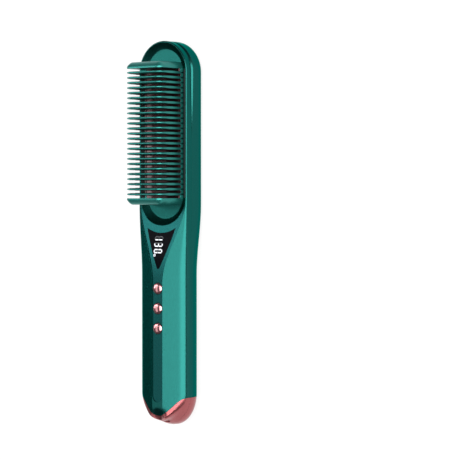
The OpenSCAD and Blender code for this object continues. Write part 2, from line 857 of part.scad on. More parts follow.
// Cradle of the cells: a trough, a bulkhead at each end of each cell, and posts under the board's ends
module cell_cradle() {
  x0 = cell_end_x - 2 * cell_l - cell_gap;
  rise = board_bottom - wall;
  post_w = 3;
  color("#d9d6cf")
    difference() {
      union() {
        translate([x0 - bulkhead_t, -cradle_hw, wall]) cube([cradle_l, 2 * cradle_hw, cell_z - wall - 1]);
        for (x = [x0 - bulkhead_t, cell_end_x])
          translate([x, -cradle_hw, wall]) cube([bulkhead_t, 2 * cradle_hw, rise]);
        translate([x0 + cell_l, -cradle_hw, wall]) cube([cell_gap, 2 * cradle_hw, rise]);
        for (x = [board_x0 + 1, board_x1 - 3], side = [0, 1])
          mirror([0, side, 0])
            translate([x, cradle_hw - post_w, wall]) cube([bulkhead_t, post_w, rise]);
      }
      for (x = [x0, cell_end_x - cell_l])
        translate([x, 0, cell_z]) rotate([0, 90, 0]) cylinder(d = cell_d + 2 * seat_gap, h = cell_l);
    }
}

module charge_board() {
  wide_l = 6.4;
  x0 = usb_x + 2.9;
  color("#1f5c33") {
    translate([cap_x - wide_l + 3, -board_hw, charge_z]) cube([wide_l, 2 * board_hw, charge_t]);
    translate([x0, -6, charge_z]) cube([cap_x - x0, 12, charge_t]);
  }
}

// Bar with half-round ends, along +X from the origin
module usb_bar(w, h, l) {
  rotate([90, 0, 90])
    linear_extrude(l) {
      translate([-(w - h) / 2, -h / 2]) square([w - h, h]);
      for (side = [-1, 1]) translate([side * (w - h) / 2, 0]) circle(h / 2);
    }
}
module usb_socket() {
  color("silver")
    translate([usb_x, 0, charge_z + charge_t + usb_h / 2]) {
      difference() {
        usb_bar(usb_w, usb_h, usb_l);
        translate([-1, 0, 0]) usb_bar(usb_w - 2 * usb_wall, usb_h - 2 * usb_wall, usb_l);
      }
      translate([1.4, -3.3, -0.35]) cube([usb_l - 2, 6.6, 0.7]);
    }
}

module housing_screws() {
  color("dimgray")
    for (p = screw_places)
      translate([p[0], p[1], screw_seat_z]) {
        translate([0, 0, -screw_head_t])
          difference() {
            cylinder(d = screw_head_d, h = screw_head_t);
            for (a = [0, 90]) rotate(a) translate([-1.2, -0.25, -1]) cube([2.4, 0.5, 1.9]);
          }
        translate([0, 0, -0.5]) cylinder(d = screw_d, h = screw_l + 0.5);
      }
}

front_housing();
back_housing();
end_cap();
front_panel();
display_window();
display_digits();
display_module();
comb_guard();
heater_comb();
heater_gasket();
heating_element();
insulation_sheet();
heater_clamp();
heater_screws();
thermistor();
thermal_fuse();
heater_leads();
power_button();
heat_up_button();
heat_down_button();
power_plunger();
heat_up_plunger();
heat_down_plunger();
switch_bodies();
main_board();
front_cell();
rear_cell();
cell_cradle();
battery_leads();
charge_board();
usb_socket();
housing_screws();
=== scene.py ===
"""Looks of the hair straightening comb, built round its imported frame.

The comb lies on its back: +X runs from the end cap to the head, +Z is the way the teeth point, and Y
is the width. Lengths in this script are in millimetres until a mesh is made, and then in metres.
"""

from math import cos, pi, radians, sin, sqrt

import bmesh
import bpy
from mathutils import Matrix, Vector


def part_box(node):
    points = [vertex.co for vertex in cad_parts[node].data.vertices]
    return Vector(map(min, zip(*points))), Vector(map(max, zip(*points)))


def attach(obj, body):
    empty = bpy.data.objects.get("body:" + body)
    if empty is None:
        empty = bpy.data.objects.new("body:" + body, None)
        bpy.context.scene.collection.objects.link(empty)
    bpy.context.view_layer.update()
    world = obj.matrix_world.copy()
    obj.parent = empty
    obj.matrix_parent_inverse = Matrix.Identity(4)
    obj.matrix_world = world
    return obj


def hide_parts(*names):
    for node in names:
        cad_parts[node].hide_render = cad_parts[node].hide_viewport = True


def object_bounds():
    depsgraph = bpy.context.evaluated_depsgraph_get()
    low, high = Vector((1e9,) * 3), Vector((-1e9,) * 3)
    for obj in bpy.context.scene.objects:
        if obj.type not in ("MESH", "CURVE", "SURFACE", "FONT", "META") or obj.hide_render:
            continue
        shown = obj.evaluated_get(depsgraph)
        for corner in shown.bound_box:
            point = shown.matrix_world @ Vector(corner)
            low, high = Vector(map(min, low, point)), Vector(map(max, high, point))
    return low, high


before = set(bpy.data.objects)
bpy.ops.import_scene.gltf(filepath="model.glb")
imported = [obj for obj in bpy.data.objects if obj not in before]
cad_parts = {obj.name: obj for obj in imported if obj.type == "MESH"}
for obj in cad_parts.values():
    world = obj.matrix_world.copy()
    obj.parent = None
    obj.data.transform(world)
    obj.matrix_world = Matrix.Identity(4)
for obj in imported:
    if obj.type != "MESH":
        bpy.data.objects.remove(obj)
cad_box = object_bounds()
MM = 0.001
HOUSING = "housing"


def node_box(node):
    """Lowest and highest corner of a CAD node, in millimetres."""
    low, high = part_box(node)
    return [v / MM for v in low], [v / MM for v in high]


# Sizes read from the frame
BODY_LOW = [v / MM for v in cad_box[0]]
BODY_HIGH = [v / MM for v in cad_box[1]]
GUARD_LOW, GUARD_HIGH = node_box("comb_guard")
FINS_HIGH = node_box("heater_comb")[1]
PANEL_LOW = node_box("front_panel")[0]
WINDOW_LOW = node_box("display_window")[0]
SOCKET_LOW, SOCKET_HIGH = node_box("usb_socket")

# Body
TIP_X = 140
HEAD_W = BODY_HIGH[1] - BODY_LOW[1]
HANDLE_W = 43.8
RIDGE_Z = 21.5
STRIP_Z = 27.5
STRIP_W = 9.8
HANDLE_CORNER_R = 14
HEAD_CORNER_R = 8
WALL = 2
SEAM_Z = 15.5
SEAM_GROOVE = 0.08
SEAM_HALF = 0.4
VALLEY_DEPTH = 1.3
VALLEY_HALF = 2.2
VALLEY_L = 50
DOME_L = 24
DOME_X = -TIP_X + DOME_L
CAP_X = -TIP_X + 21.3
TONGUE_L = 13.9
HEAD_X = TIP_X - HEAD_W / 2
NECK_X = 27.74
SLOPE_X0 = NECK_X - 64
RAMP_X0 = NECK_X - 58
RAMP_X1 = NECK_X - 6
FACET_SLOPE = (STRIP_Z - RIDGE_Z) / ((HANDLE_W - STRIP_W) / 2)
HANDLE_ROUND = 5
DOME_WIDEST_Z = 9
DIP_DEPTH = 4.2
DIP_START = 125
DIP_L = 13
DIP_HALF = 8.5
JOINT_GAP = 0.07
SEAM_GAP = 0.03
HEAD_ROUND = 1

# Recess in the head's face
RECESS_DEPTH = 3
FLOOR_Z = RIDGE_Z - RECESS_DEPTH
RIM_R = HEAD_W / 2 - HEAD_ROUND
FLOOR_R = RIM_R - 4.5

# Panel, window and digits
PANEL_SINK = 0.5
PANEL_T = 1.5
PANEL_LIP = 0.15
PANEL_END_X = PANEL_LOW[0]
HORN_X0 = NECK_X - 12
HORN_X1 = NECK_X - 2
WINDOW_T = 1
WINDOW_TIP_X = WINDOW_LOW[0]
WINDOW_TIP_R = 1.7
WINDOW_L = 27
WINDOW_ARC_R = RIM_R + 5.4
WINDOW_BORDER = 3.6
WINDOW_BULGE = 0.7
DIGIT_H = 8
DIGIT_W = 3.1
DIGIT_PITCH = 4.65
DIGITS_X = WINDOW_TIP_X + WINDOW_L - 4.7
DIGITS_Y = 1.3
BAR_W = 0.85
BAR_GAP = 0.12

# Comb
TEETH = 25
TOOTH_PITCH = 3.66
TOOTH_T = 1.7
END_TOOTH_T = 4.7
TOOTH_RISE = GUARD_HIGH[2] - FLOOR_Z
TOOTH_LEG = 1.3
TOOTH_TIP = 7.5
TOOTH_R = 5
TOOTH_INNER_R = 2
LEG_EDGE = 0.35
TIP_DEPTH = 2.1
END_TIP_DEPTH = 4.5
COMB_X = (GUARD_LOW[0] + GUARD_HIGH[0]) / 2
COMB_HW = GUARD_HIGH[1]
FIN_ROW_L = GUARD_HIGH[0] - GUARD_LOW[0] - 2 * END_TOOTH_T
FIN_T = 2.1
FIN_HW = FINS_HIGH[1]
FIN_TOP = FINS_HIGH[2]
BASE_TOP = FLOOR_Z + 3.4
RAIL_H = 2.6


def mix(a, b, t):
    return a + (b - a) * t


def smooth(t):
    t = min(1, max(0, t))
    return t * t * (3 - 2 * t)


def spread(a, b, n):
    """n + 1 values from a to b."""
    return [mix(a, b, i / n) for i in range(n + 1)]


# Curves of the body


def ramp(x):
    return smooth((x - RAMP_X0) / (RAMP_X1 - RAMP_X0))


def half_w(x):
    return mix(HANDLE_W, HEAD_W, ramp(x)) / 2


def corner_r(x):
    return mix(HANDLE_CORNER_R, HEAD_CORNER_R, ramp(x))


def top_z(x):
    return mix(STRIP_Z, RIDGE_Z, smooth((x - SLOPE_X0) / (NECK_X - SLOPE_X0)))


def facet_y(x, z):
    return half_w(x) - (z - RIDGE_Z) / FACET_SLOPE


def valley(x):
    return mix(SEAM_GROOVE, VALLEY_DEPTH, smooth((x - HEAD_X + VALLEY_L) / VALLEY_L))


def valley_half(x):
    return mix(SEAM_HALF, VALLEY_HALF, smooth((x - HEAD_X + VALLEY_L) / VALLEY_L))


def ridge_round(x):
    return mix(HANDLE_ROUND, HEAD_ROUND, ramp(x))


def bend(a, c, b, t):
    """Point at t on the curve from a to b that bends at c."""
    return tuple((1 - t) ** 2 * a[i] + 2 * t * (1 - t) * c[i] + t * t * b[i] for i in range(2))


def side_profile(x):
    """Points (y, z) from the middle of the back up to the end of the ridge's rounding."""
    w, r, d = half_w(x), corner_r(x), ridge_round(x)
    v, h = valley(x), valley_half(x)
    points = [(y, 0) for y in spread(0, w - r, 6)[:-1]]
    points += [(w - r + r * sin(radians(a)), r - r * cos(radians(a))) for a in range(0, 91, 6)]
    points += [(w, z) for z in spread(r, SEAM_Z - h, 3)[1:]]
    points += [(w - v * 0.5 * (1 + cos(pi * t)), SEAM_Z + h * t) for t in spread(-1, 1, 20)[1:]]
    points += [(w, z) for z in spread(SEAM_Z + h, RIDGE_Z - d, 3)[1:-1]]
    zt = top_z(x)
    c, e = (w, RIDGE_Z), (facet_y(x, zt), zt)
    length = sqrt((c[0] - e[0]) ** 2 + (c[1] - e[1]) ** 2)
    if length > d:
        p = tuple(c[i] + (e[i] - c[i]) * d / length for i in range(2))
    else:
        p = (e[0] - (d - length), e[1])
    points += [bend((w, RIDGE_Z - d), c, p, t) for t in spread(0, 1, 14)]
    return points


FACET_STEPS = 10
STRIP_STEPS = 8


def front_profile(x, start):
    """Points (y, z) from the end of the ridge's rounding to the middle of the front."""
    zt = top_z(x)
    e = (min(facet_y(x, zt), start[0] - 0.02), zt)
    points = [tuple(mix(start[i], e[i], t) for i in range(2)) for t in spread(0, 1, FACET_STEPS)[1:]]
    points += [(mix(e[0], 0, t), zt) for t in spread(0, 1, STRIP_STEPS)[1:]]
    return points


def dome_reach(z):
    """How far the end reaches past DOME_X at a height."""
    if z < DOME_WIDEST_Z:
        return DOME_L * sqrt(1 - 0.6 * ((DOME_WIDEST_Z - z) / DOME_WIDEST_Z) ** 2)
    return DOME_L - 3 * smooth((z - DOME_WIDEST_Z) / 14) - 1.2 * smooth((z - 25) / 2.5)


def dome_power(z):
    """How full the end's outline is at a height."""
    return 2 / mix(2.1, 1.35, smooth((z - 12) / 9))


def dip(x, y):
    """How far the front sinks below its facets towards the tip, in the middle."""
    return DIP_DEPTH * smooth((-x - DIP_START) / DIP_L) * (1 - smooth(abs(y) / DIP_HALF))


def dome_front_z(y):
    return min(STRIP_Z, RIDGE_Z + (HANDLE_W / 2 - y) * FACET_SLOPE)


def dome_rib(side, angle):
    """One rib of the end, at an angle from 0, across the body, to 90, along its middle."""
    ridge_start = RIDGE_Z - HANDLE_ROUND
    c = cos(angle)
    shrink = c ** dome_power(RIDGE_Z) if c > 1e-9 else 0
    y_end = side[-1][0] * shrink
    lift = dome_front_z(y_end) - side[-1][1]
    rib = []
    for y, z in side:
        z += lift * min(1, max(0, (z - SEAM_Z - 1) / (side[-1][1] - SEAM_Z - 1)))
        k = c ** dome_power(min(z, RIDGE_Z)) if c > 1e-9 else 0
        rib.append((y * k, z))
    crease = min(STRIP_W / 2, y_end)
    rib += [(mix(y_end, crease, t), None) for t in spread(0, 1, FACET_STEPS)[1:]]
    rib += [(mix(crease, 0, t), None) for t in spread(0, 1, STRIP_STEPS)[1:]]
    placed = []
    for y, z in rib:
        zz = dome_front_z(y) if z is None else z
        x = DOME_X - dome_reach(zz) * sin(angle)
        edge = smooth((zz - ridge_start) / (RIDGE_Z - ridge_start))
        placed.append((x, y, zz - dip(x, y) * edge))
    return placed


def body_ribs():
    """Ribs from the middle of the end, along the body, to the top of the head."""
    side = side_profile(DOME_X)
    ribs = [dome_rib(side, radians(a)) for a in (90, 89, 87.5, 85.5, *range(83, 0, -3))]
    xs = spread(DOME_X, SLOPE_X0, 24) + spread(SLOPE_X0, NECK_X, 32)[1:] + spread(NECK_X, HEAD_X, 24)[1:]
    for x in xs:
        side = side_profile(x)
        ribs.append([(x, y, z) for y, z in side + front_profile(x, side[-1])])
    last = ribs[-1]
    for a in spread(0, pi / 2, 30)[1:]:
        ribs.append([(HEAD_X + y * sin(a), y * cos(a), z) for x, y, z in last])
    return ribs


def skin(bm, ribs):
    """Closed skin through ribs on the +Y side and their mirror image on the other side."""
    grid = []
    for side in (1, -1):
        grid.append([[bm.verts.new((x * MM, side * y * MM, z * MM)) for x, y, z in rib] for rib in ribs])
    for s, rows in enumerate(grid):
        for a, b in zip(rows, rows[1:]):
            for i in range(len(a) - 1):
                quad = [a[i], a[i + 1], b[i + 1], b[i]]
                bm.faces.new(quad if s == 0 else quad[::-1])
    bmesh.ops.remove_doubles(bm, verts=bm.verts, dist=1e-7)
    bmesh.ops.dissolve_degenerate(bm, edges=bm.edges, dist=1e-7)
    bmesh.ops.recalc_face_normals(bm, faces=bm.faces)


# Making objects


def new_object(name, bm):
    mesh = bpy.data.meshes.new(name)
    bm.to_mesh(mesh)
    bm.free()
    obj = bpy.data.objects.new(name, mesh)
    bpy.context.scene.collection.objects.link(obj)
    return obj


def solid(bm, outline, z0, z1):
    """Prism over an outline of (x, y), from z0 up to z1."""
    low = [bm.verts.new((x * MM, y * MM, z0 * MM)) for x, y in outline]
    high = [bm.verts.new((x * MM, y * MM, z1 * MM)) for x, y in outline]
    bm.faces.new(low[::-1])
    bm.faces.new(high)
    for i in range(len(outline)):
        j = (i + 1) % len(outline)
        bm.faces.new((low[i], low[j], high[j], high[i]))


def box(bm, low, high):
    solid(bm, [(low[0], low[1]), (high[0], low[1]), (high[0], high[1]), (low[0], high[1])], low[2], high[2])


def lathe(bm, profile, centre, steps=64):
    """Solid of revolution about Z from (radius, z) points that start and end on the axis."""
    rings = []
    for r, z in profile:
        if r < 1e-6:
            rings.append([bm.verts.new((centre[0] * MM, centre[1] * MM, z * MM))])
        else:
            turns = [2 * pi * (i + 0.5) / steps for i in range(steps)]
            points = [(centre[0] + r * cos(t), centre[1] + r * sin(t)) for t in turns]
            rings.append([bm.verts.new((x * MM, y * MM, z * MM)) for x, y in points])
    for a, b in zip(rings, rings[1:]):
        for i in range(steps):
            j = (i + 1) % steps
            corners = [a[i % len(a)], a[j % len(a)], b[j % len(b)], b[i % len(b)]]
            corners = list(dict.fromkeys(corners))
            if len(corners) > 2:
                bm.faces.new(corners)


def apply(obj, kind, **settings):
    """Adds a modifier, applies it, and drops it."""
    modifier = obj.modifiers.new(kind, kind)
    for key, value in settings.items():
        setattr(modifier, key, value)
    graph = bpy.context.evaluated_depsgraph_get()
    mesh = bpy.data.meshes.new_from_object(obj.evaluated_get(graph))
    obj.modifiers.clear()
    old = obj.data
    obj.data = mesh
    bpy.data.meshes.remove(old)


def cut(obj, bm, operation="DIFFERENCE"):
    """Cuts a solid out of obj, or keeps what they share."""
    bmesh.ops.recalc_face_normals(bm, faces=bm.faces)
    tool = new_object("tool", bm)
    apply(obj, "BOOLEAN", operation=operation, object=tool, solver="EXACT")
    bpy.data.objects.remove(tool)


def island_of(face, left):
    """Faces linked to one face, taken out of the set that is left."""
    island, queue = [], [face]
    left.discard(face)
    while queue:
        current = queue.pop()
        island.append(current)
        for edge in current.edges:
            for other in edge.link_faces:
                if other in left:
                    left.discard(other)
                    queue.append(other)
    return island


def turn_outward(bm):
    """Points the faces of each island outward, going by the sign of its volume."""
    bmesh.ops.recalc_face_normals(bm, faces=bm.faces)
    left = set(bm.faces)
    while left:
        island = island_of(next(iter(left)), left)
        volume = 0
        for face in island:
            a, *others = [v.co for v in face.verts]
            volume += sum(a.dot(b.cross(c)) for b, c in zip(others, others[1:]))
        if volume < 0:
            bmesh.ops.reverse_faces(bm, faces=island)


def finish_piece(obj, body, mat, nodes=(), sharp=14):
    """Shades a piece, gives it its material and slot, and lets it ride and replace its nodes."""
    bm = bmesh.new()
    bm.from_mesh(obj.data)
    turn_outward(bm)
    for edge in bm.edges:
        flat = len(edge.link_faces) == 2 and edge.calc_face_angle(0) < radians(sharp)
        edge.smooth = flat
    for face in bm.faces:
        face.smooth = True
    bm.to_mesh(obj.data)
    bm.free()
    obj.data.materials.clear()
    obj.data.materials.append(mat)
    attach(obj, body)
    if nodes:
        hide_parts(*nodes)
    return obj


# Materials


def material(name, colour, metallic=0.0, rough=0.4, spread_colour=0.12, scale=260.0, bump=0.02,
             specular=0.5, grain=(1, 1, 1), emission=0.0, coat=0.0, rough_spread=0.08, tint=(1, 1, 1)):
    """Procedural surface: mottled colour, uneven roughness and a fine bump."""
    mat = bpy.data.materials.new(name)
    mat.use_nodes = True
    nodes, links = mat.node_tree.nodes, mat.node_tree.links
    shader = nodes["Principled BSDF"]
    shader.inputs["Metallic"].default_value = metallic
    shader.inputs["Specular IOR Level"].default_value = specular
    shader.inputs["Specular Tint"].default_value = (*tint, 1)
    shader.inputs["Coat Weight"].default_value = coat
    shader.inputs["Coat Roughness"].default_value = 0.08
    place = nodes.new("ShaderNodeTexCoord")
    mapping = nodes.new("ShaderNodeMapping")
    mapping.inputs["Scale"].default_value = grain
    links.new(place.outputs["Object"], mapping.inputs["Vector"])

    def noise(factor, detail):
        node = nodes.new("ShaderNodeTexNoise")
        node.inputs["Scale"].default_value = scale * factor
        node.inputs["Detail"].default_value = detail
        links.new(mapping.outputs["Vector"], node.inputs["Vector"])
        return node

    patches = noise(1, 3)
    ramp_node = nodes.new("ShaderNodeValToRGB")
    dark = [c * (1 - spread_colour) for c in colour]
    light = [min(1, c * (1 + spread_colour)) for c in colour]
    ramp_node.color_ramp.elements[0].position = 0.35
    ramp_node.color_ramp.elements[1].position = 0.65
    ramp_node.color_ramp.elements[0].color = (*dark, 1)
    ramp_node.color_ramp.elements[1].color = (*light, 1)
    links.new(patches.outputs["Fac"], ramp_node.inputs["Fac"])
    links.new(ramp_node.outputs["Color"], shader.inputs["Base Color"])
    if emission:
        links.new(ramp_node.outputs["Color"], shader.inputs["Emission Color"])
        shader.inputs["Emission Strength"].default_value = emission
    wear = noise(0.31, 2)
    range_node = nodes.new("ShaderNodeMapRange")
    range_node.inputs["To Min"].default_value = max(0.02, rough - rough_spread)
    range_node.inputs["To Max"].default_value = min(1, rough + rough_spread)
    links.new(wear.outputs["Fac"], range_node.inputs["Value"])
    links.new(range_node.outputs["Result"], shader.inputs["Roughness"])
    fine = noise(6, 2)
    bump_node = nodes.new("ShaderNodeBump")
    bump_node.inputs["Strength"].default_value = bump
    bump_node.inputs["Distance"].default_value = 0.0002
    links.new(fine.outputs["Fac"], bump_node.inputs["Height"])
    links.new(bump_node.outputs["Normal"], shader.inputs["Normal"])
    return mat


PEARL = material("pearl_green", (0.011, 0.09, 0.08), metallic=1, rough=0.26, spread_colour=0.05, scale=1500,
                 tint=(0.16, 0.7, 0.62), rough_spread=0.03)
PANEL = material("panel_green", (0.009, 0.072, 0.07), metallic=1, rough=0.27, spread_colour=0.05, scale=1500,
                 tint=(0.16, 0.6, 0.55), rough_spread=0.03)
TEETH_PAINT = material("teeth_green", (0.02, 0.19, 0.165), metallic=0.75, rough=0.36, spread_colour=0.06,
                       scale=900)
ROSE = material("rose_gold", (0.36, 0.102, 0.107), metallic=0.95, rough=0.3, spread_colour=0.05, scale=1200)
BUTTON = material("button_rose", (0.66, 0.3, 0.31), metallic=1.0, rough=0.2, spread_colour=0.12, scale=700,
                  bump=0.08)
LENS = material("black_lens", (0.002, 0.002, 0.003), rough=0.1, spread_colour=0.3, scale=300, bump=0.004,
                specular=0.01, rough_spread=0.02)
LIT = material("lit_digit", (0.5, 0.52, 0.55), rough=0.4, spread_colour=0.03, scale=900, emission=0.9)
GHOST = material("unlit_digit", (0.022, 0.024, 0.028), rough=0.4, spread_colour=0.15, scale=900)
# Comb coating: rose-gold metal whose colour is darkened to near-black maroon, painted shade for the comb
# deep between the teeth.
SHADED_MAROON = material("comb_coating_painted_shade", (0.03, 0.008, 0.01), metallic=0.9, rough=0.25, spread_colour=0.15,
                  scale=420, bump=0.01, tint=(0.8, 0.65, 0.65), rough_spread=0.04, coat=0.3)
SILICONE = material("silicone", (0.6, 0.56, 0.5), rough=0.7, scale=500)
CERAMIC = material("ceramic", (0.75, 0.72, 0.66), rough=0.55, scale=600, bump=0.06)
MICA = material("mica", (0.45, 0.34, 0.18), rough=0.35, spread_colour=0.35, scale=180, grain=(1, 1, 4))
STEEL = material("steel", (0.6, 0.6, 0.61), metallic=1, rough=0.32, scale=900, grain=(0.1, 1, 1), bump=0.05)
DARK_STEEL = material("dark_steel", (0.12, 0.12, 0.13), metallic=1, rough=0.38, scale=900, bump=0.05)
BLACK_PLASTIC = material("black_plastic", (0.02, 0.02, 0.022), rough=0.5, scale=1500, bump=0.08)
LIGHT_PLASTIC = material("light_plastic", (0.7, 0.68, 0.63), rough=0.5, scale=1200, bump=0.05,
                         spread_colour=0.05)
BOARD = material("circuit_board", (0.015, 0.11, 0.04), rough=0.3, spread_colour=0.4, scale=160,
                 grain=(1, 3, 1))
SLEEVE = material("cell_sleeve", (0.05, 0.16, 0.34), rough=0.3, spread_colour=0.08, scale=300)
RED_WIRE = material("red_wire", (0.38, 0.04, 0.025), rough=0.45, scale=900)
BLUE_WIRE = material("blue_wire", (0.03, 0.08, 0.33), rough=0.45, scale=900)
# Near-black paint for the thin sheet laid on the recess's ring beside the comb: painted shade.
PAINTED_SHADE = material("painted_shade_sheet", (0.01, 0.012, 0.012), rough=0.8, scale=900)


# Outer shells


CUT_OVER = 10
CUT_Y = 30
CUT_LOW_Z = -5
CUT_HIGH_Z = 60


def tongue_x(y):
    return CAP_X - TONGUE_L * (0.5 + 0.5 * cos(pi * min(1, abs(y) / (HANDLE_W / 2)))) ** 0.8


def cap_prism(bm, grow):
    """Everything on the end cap's side of its joint with the two shells."""
    far = -TIP_X - CUT_OVER
    outline = [(far, -CUT_Y), (CAP_X + grow, -CUT_Y)]
    outline += [(tongue_x(y) + grow, y) for y in spread(-HANDLE_W / 2, HANDLE_W / 2, 72)]
    outline += [(CAP_X + grow, CUT_Y), (far, CUT_Y)]
    solid(bm, outline, SEAM_Z + grow, CUT_HIGH_Z)


def lower_prism(bm, grow):
    box(bm, (-TIP_X - CUT_OVER, -CUT_Y, CUT_LOW_Z), (CAP_X + grow, CUT_Y, SEAM_Z + 2 * grow))


def recess(bm, up=8):
    """The recess: a stadium with a sloping ring, softly rounded edges and upright walls above it."""
    profile = [(FLOOR_R - 1.2, 0), (FLOOR_R - 0.4, 0.06), (FLOOR_R + 0.4, 0.38)]
    profile += [(RIM_R - 0.35, RECESS_DEPTH - 0.32), (RIM_R - 0.1, RECESS_DEPTH - 0.08)]
    profile += [(RIM_R + 0.08, RECESS_DEPTH + 0.02), (RIM_R + 0.1, RECESS_DEPTH + up)]
    rings = []
    for r, z in profile:
        ring = []
        for a in spread(-90, 90, 60):
            ring.append((HEAD_X + r * cos(radians(a)), r * sin(radians(a)), FLOOR_Z + z))
        for a in spread(90, 270, 60):
            ring.append((NECK_X + r * cos(radians(a)), r * sin(radians(a)), FLOOR_Z + z))
        rings.append([bm.verts.new([c * MM for c in p]) for p in ring])
    n = len(rings[0])
    for a, b in zip(rings, rings[1:]):
        for i in range(n):
            bm.faces.new((a[i], a[(i + 1) % n], b[(i + 1) % n], b[i]))
    bm.faces.new(rings[0][::-1])
    bm.faces.new(rings[-1])


def circle_y(x, r):
    """Half-width at x of the circle of radius r about the neck's centre."""
    return sqrt(max(0, r * r - (NECK_X - x) ** 2)) if x < NECK_X else r


def panel_half(x):
    """Half-width of the panel at x, with a round end and horns that taper off along the head's rim."""
    r = STRIP_W / 2 - PANEL_LIP
    if x < PANEL_END_X + r:
        return sqrt(max(0, r * r - (PANEL_END_X + r - x) ** 2))
    full = facet_y(x, top_z(x)) - PANEL_LIP
    inner = circle_y(x, RIM_R + 0.1)
    return mix(full, min(full, inner), smooth((x - HORN_X0) / (HORN_X1 - HORN_X0)))


def stations(starts, x_end):
    """Places along X that crowd after each start, where an outline begins as an arc."""
    xs = []
    bounds = list(starts) + [x_end]
    for a, b in zip(bounds, bounds[1:]):
        near = min(6, (b - a) / 2)
        xs += [a + near * (1 - cos(radians(t))) for t in range(0, 90, 6)]
        count = max(2, round((b - a - near) / 1.6))
        xs += spread(a + near, b, count)[:-1]
    return xs + [x_end]


def plate(bm, xs, inner, outer, top, depth, edge=0.0):
    """Plate that follows the front: between inner(x) and outer(x) on both sides, with softened edges."""
    steps = 6
    rows = []
    for x in xs:
        b, a = outer(x), min(inner(x), outer(x))
        e = min(edge, (b - a) / 3)
        ys = [b, b] + [mix(b - e, a, t) for t in spread(0, 1, steps)] + [a, a]
        drop = [depth, e] + [0] * (steps + 2) + [depth]
        rows.append([(x, y, top(x) - d) for y, d in zip(ys, drop)])
    grid = []
    for side in (1, -1):
        grid.append([[bm.verts.new((x * MM, side * y * MM, z * MM)) for x, y, z in row] for row in rows])
    for rows in grid:
        count = len(rows[0])
        for a, b in zip(rows, rows[1:]):
            for i in range(count):
                j = (i + 1) % count
                bm.faces.new((a[i], a[j], b[j], b[i]))
        bm.faces.new(rows[0])
        bm.faces.new(rows[-1])
    bmesh.ops.remove_doubles(bm, verts=bm.verts, dist=2e-6)
    bmesh.ops.dissolve_degenerate(bm, edges=bm.edges, dist=1e-6)
    walls = [f for f in bm.faces if all(abs(v.co.y) < 1e-7 for v in f.verts)]
    bmesh.ops.delete(bm, geom=walls, context="FACES_ONLY")
    bmesh.ops.recalc_face_normals(bm, faces=bm.faces)


def panel_top(x):
    return top_z(x) - mix(PANEL_SINK, 0.05, smooth((x - HORN_X0) / (HORN_X1 - HORN_X0)))


PANEL_XS = stations([PANEL_END_X, NECK_X - RIM_R - 0.1], HORN_X1)


def build_panel_solid(bm, grow, top_add, depth, edge=0.0):
    def outer(x):
        return panel_half(x) + grow

    def inner(x):
        return max(0, circle_y(x, RIM_R + 0.1) + 0.02 - grow) if x > NECK_X - RIM_R - 0.1 else 0

    plate(bm, PANEL_XS, inner, outer, lambda x: panel_top(x) + top_add, depth, edge)


def hollow_half(x, ceiling):
    """Half of the hollow's section at x."""
    w, r = half_w(x) - WALL, corner_r(x) - WALL
    corner = [(w - r + r * sin(radians(a)), WALL + r - r * cos(radians(a))) for a in range(0, 91, 15)]
    top = [(w, SEAM_Z - 1), (w - 0.5, min(RIDGE_Z - WALL, ceiling - 0.1)), (0, ceiling)]
    return [(0, WALL)] + corner + top


def hollow_ribs():
    """Ribs of the hollow inside, about a wall's thickness in from the skin."""
    step_x = NECK_X - 23
    ribs = []
    end = hollow_half(DOME_X, RIDGE_Z - WALL)
    for angle in (90, 75, 60, 45, 30, 15):
        a = radians(angle)
        c = max(0, cos(a))
        rib = [(DOME_X - (dome_reach(z) - WALL - 1) * sin(a), y * c ** dome_power(z), z) for y, z in end]
        ribs.append(rib)
    ribs.append([(DOME_X, y, z) for y, z in end])
    for x in spread(DOME_X + 6, step_x, 8):
        ribs.append([(x, y, z) for y, z in hollow_half(x, min(STRIP_Z - 7, top_z(x) - 3.2))])
    for x in (step_x + 0.8, NECK_X, HEAD_X):
        ribs.append([(x, y, z) for y, z in hollow_half(x, FLOOR_Z - WALL)])
    last = ribs[-1]
    for a in spread(0, pi / 2, 9)[1:]:
        ribs.append([(HEAD_X + y * sin(a), y * cos(a), z) for x, y, z in last])
    return ribs


# Screws from the back: a boss stands round each
SCREWS_HIGH = node_box("housing_screws")[1]
HEAD_R = 2.28
SCREW_Y = SCREWS_HIGH[1] - HEAD_R
HANDLE_SCREWS = [(x, y) for x in (CAP_X + 19, NECK_X - 58) for y in (SCREW_Y, -SCREW_Y)]
SCREW_PLACES = HANDLE_SCREWS + [(NECK_X - 6.8, 0), (HEAD_X + 10.6, 0)]
SCREW_SEAT_Z = 5.6
BOSS_WALL = 1.2
HEAD_BORE_R = HEAD_R + 0.2
SHANK_BORE_R = 1.3
THREAD_BORE_R = 1.2


def rod(centre, r, z0, z1, steps=40):
    bm = bmesh.new()
    lathe(bm, [(0, z0), (r, z0), (r, z1), (0, z1)], centre, steps)
    return bm


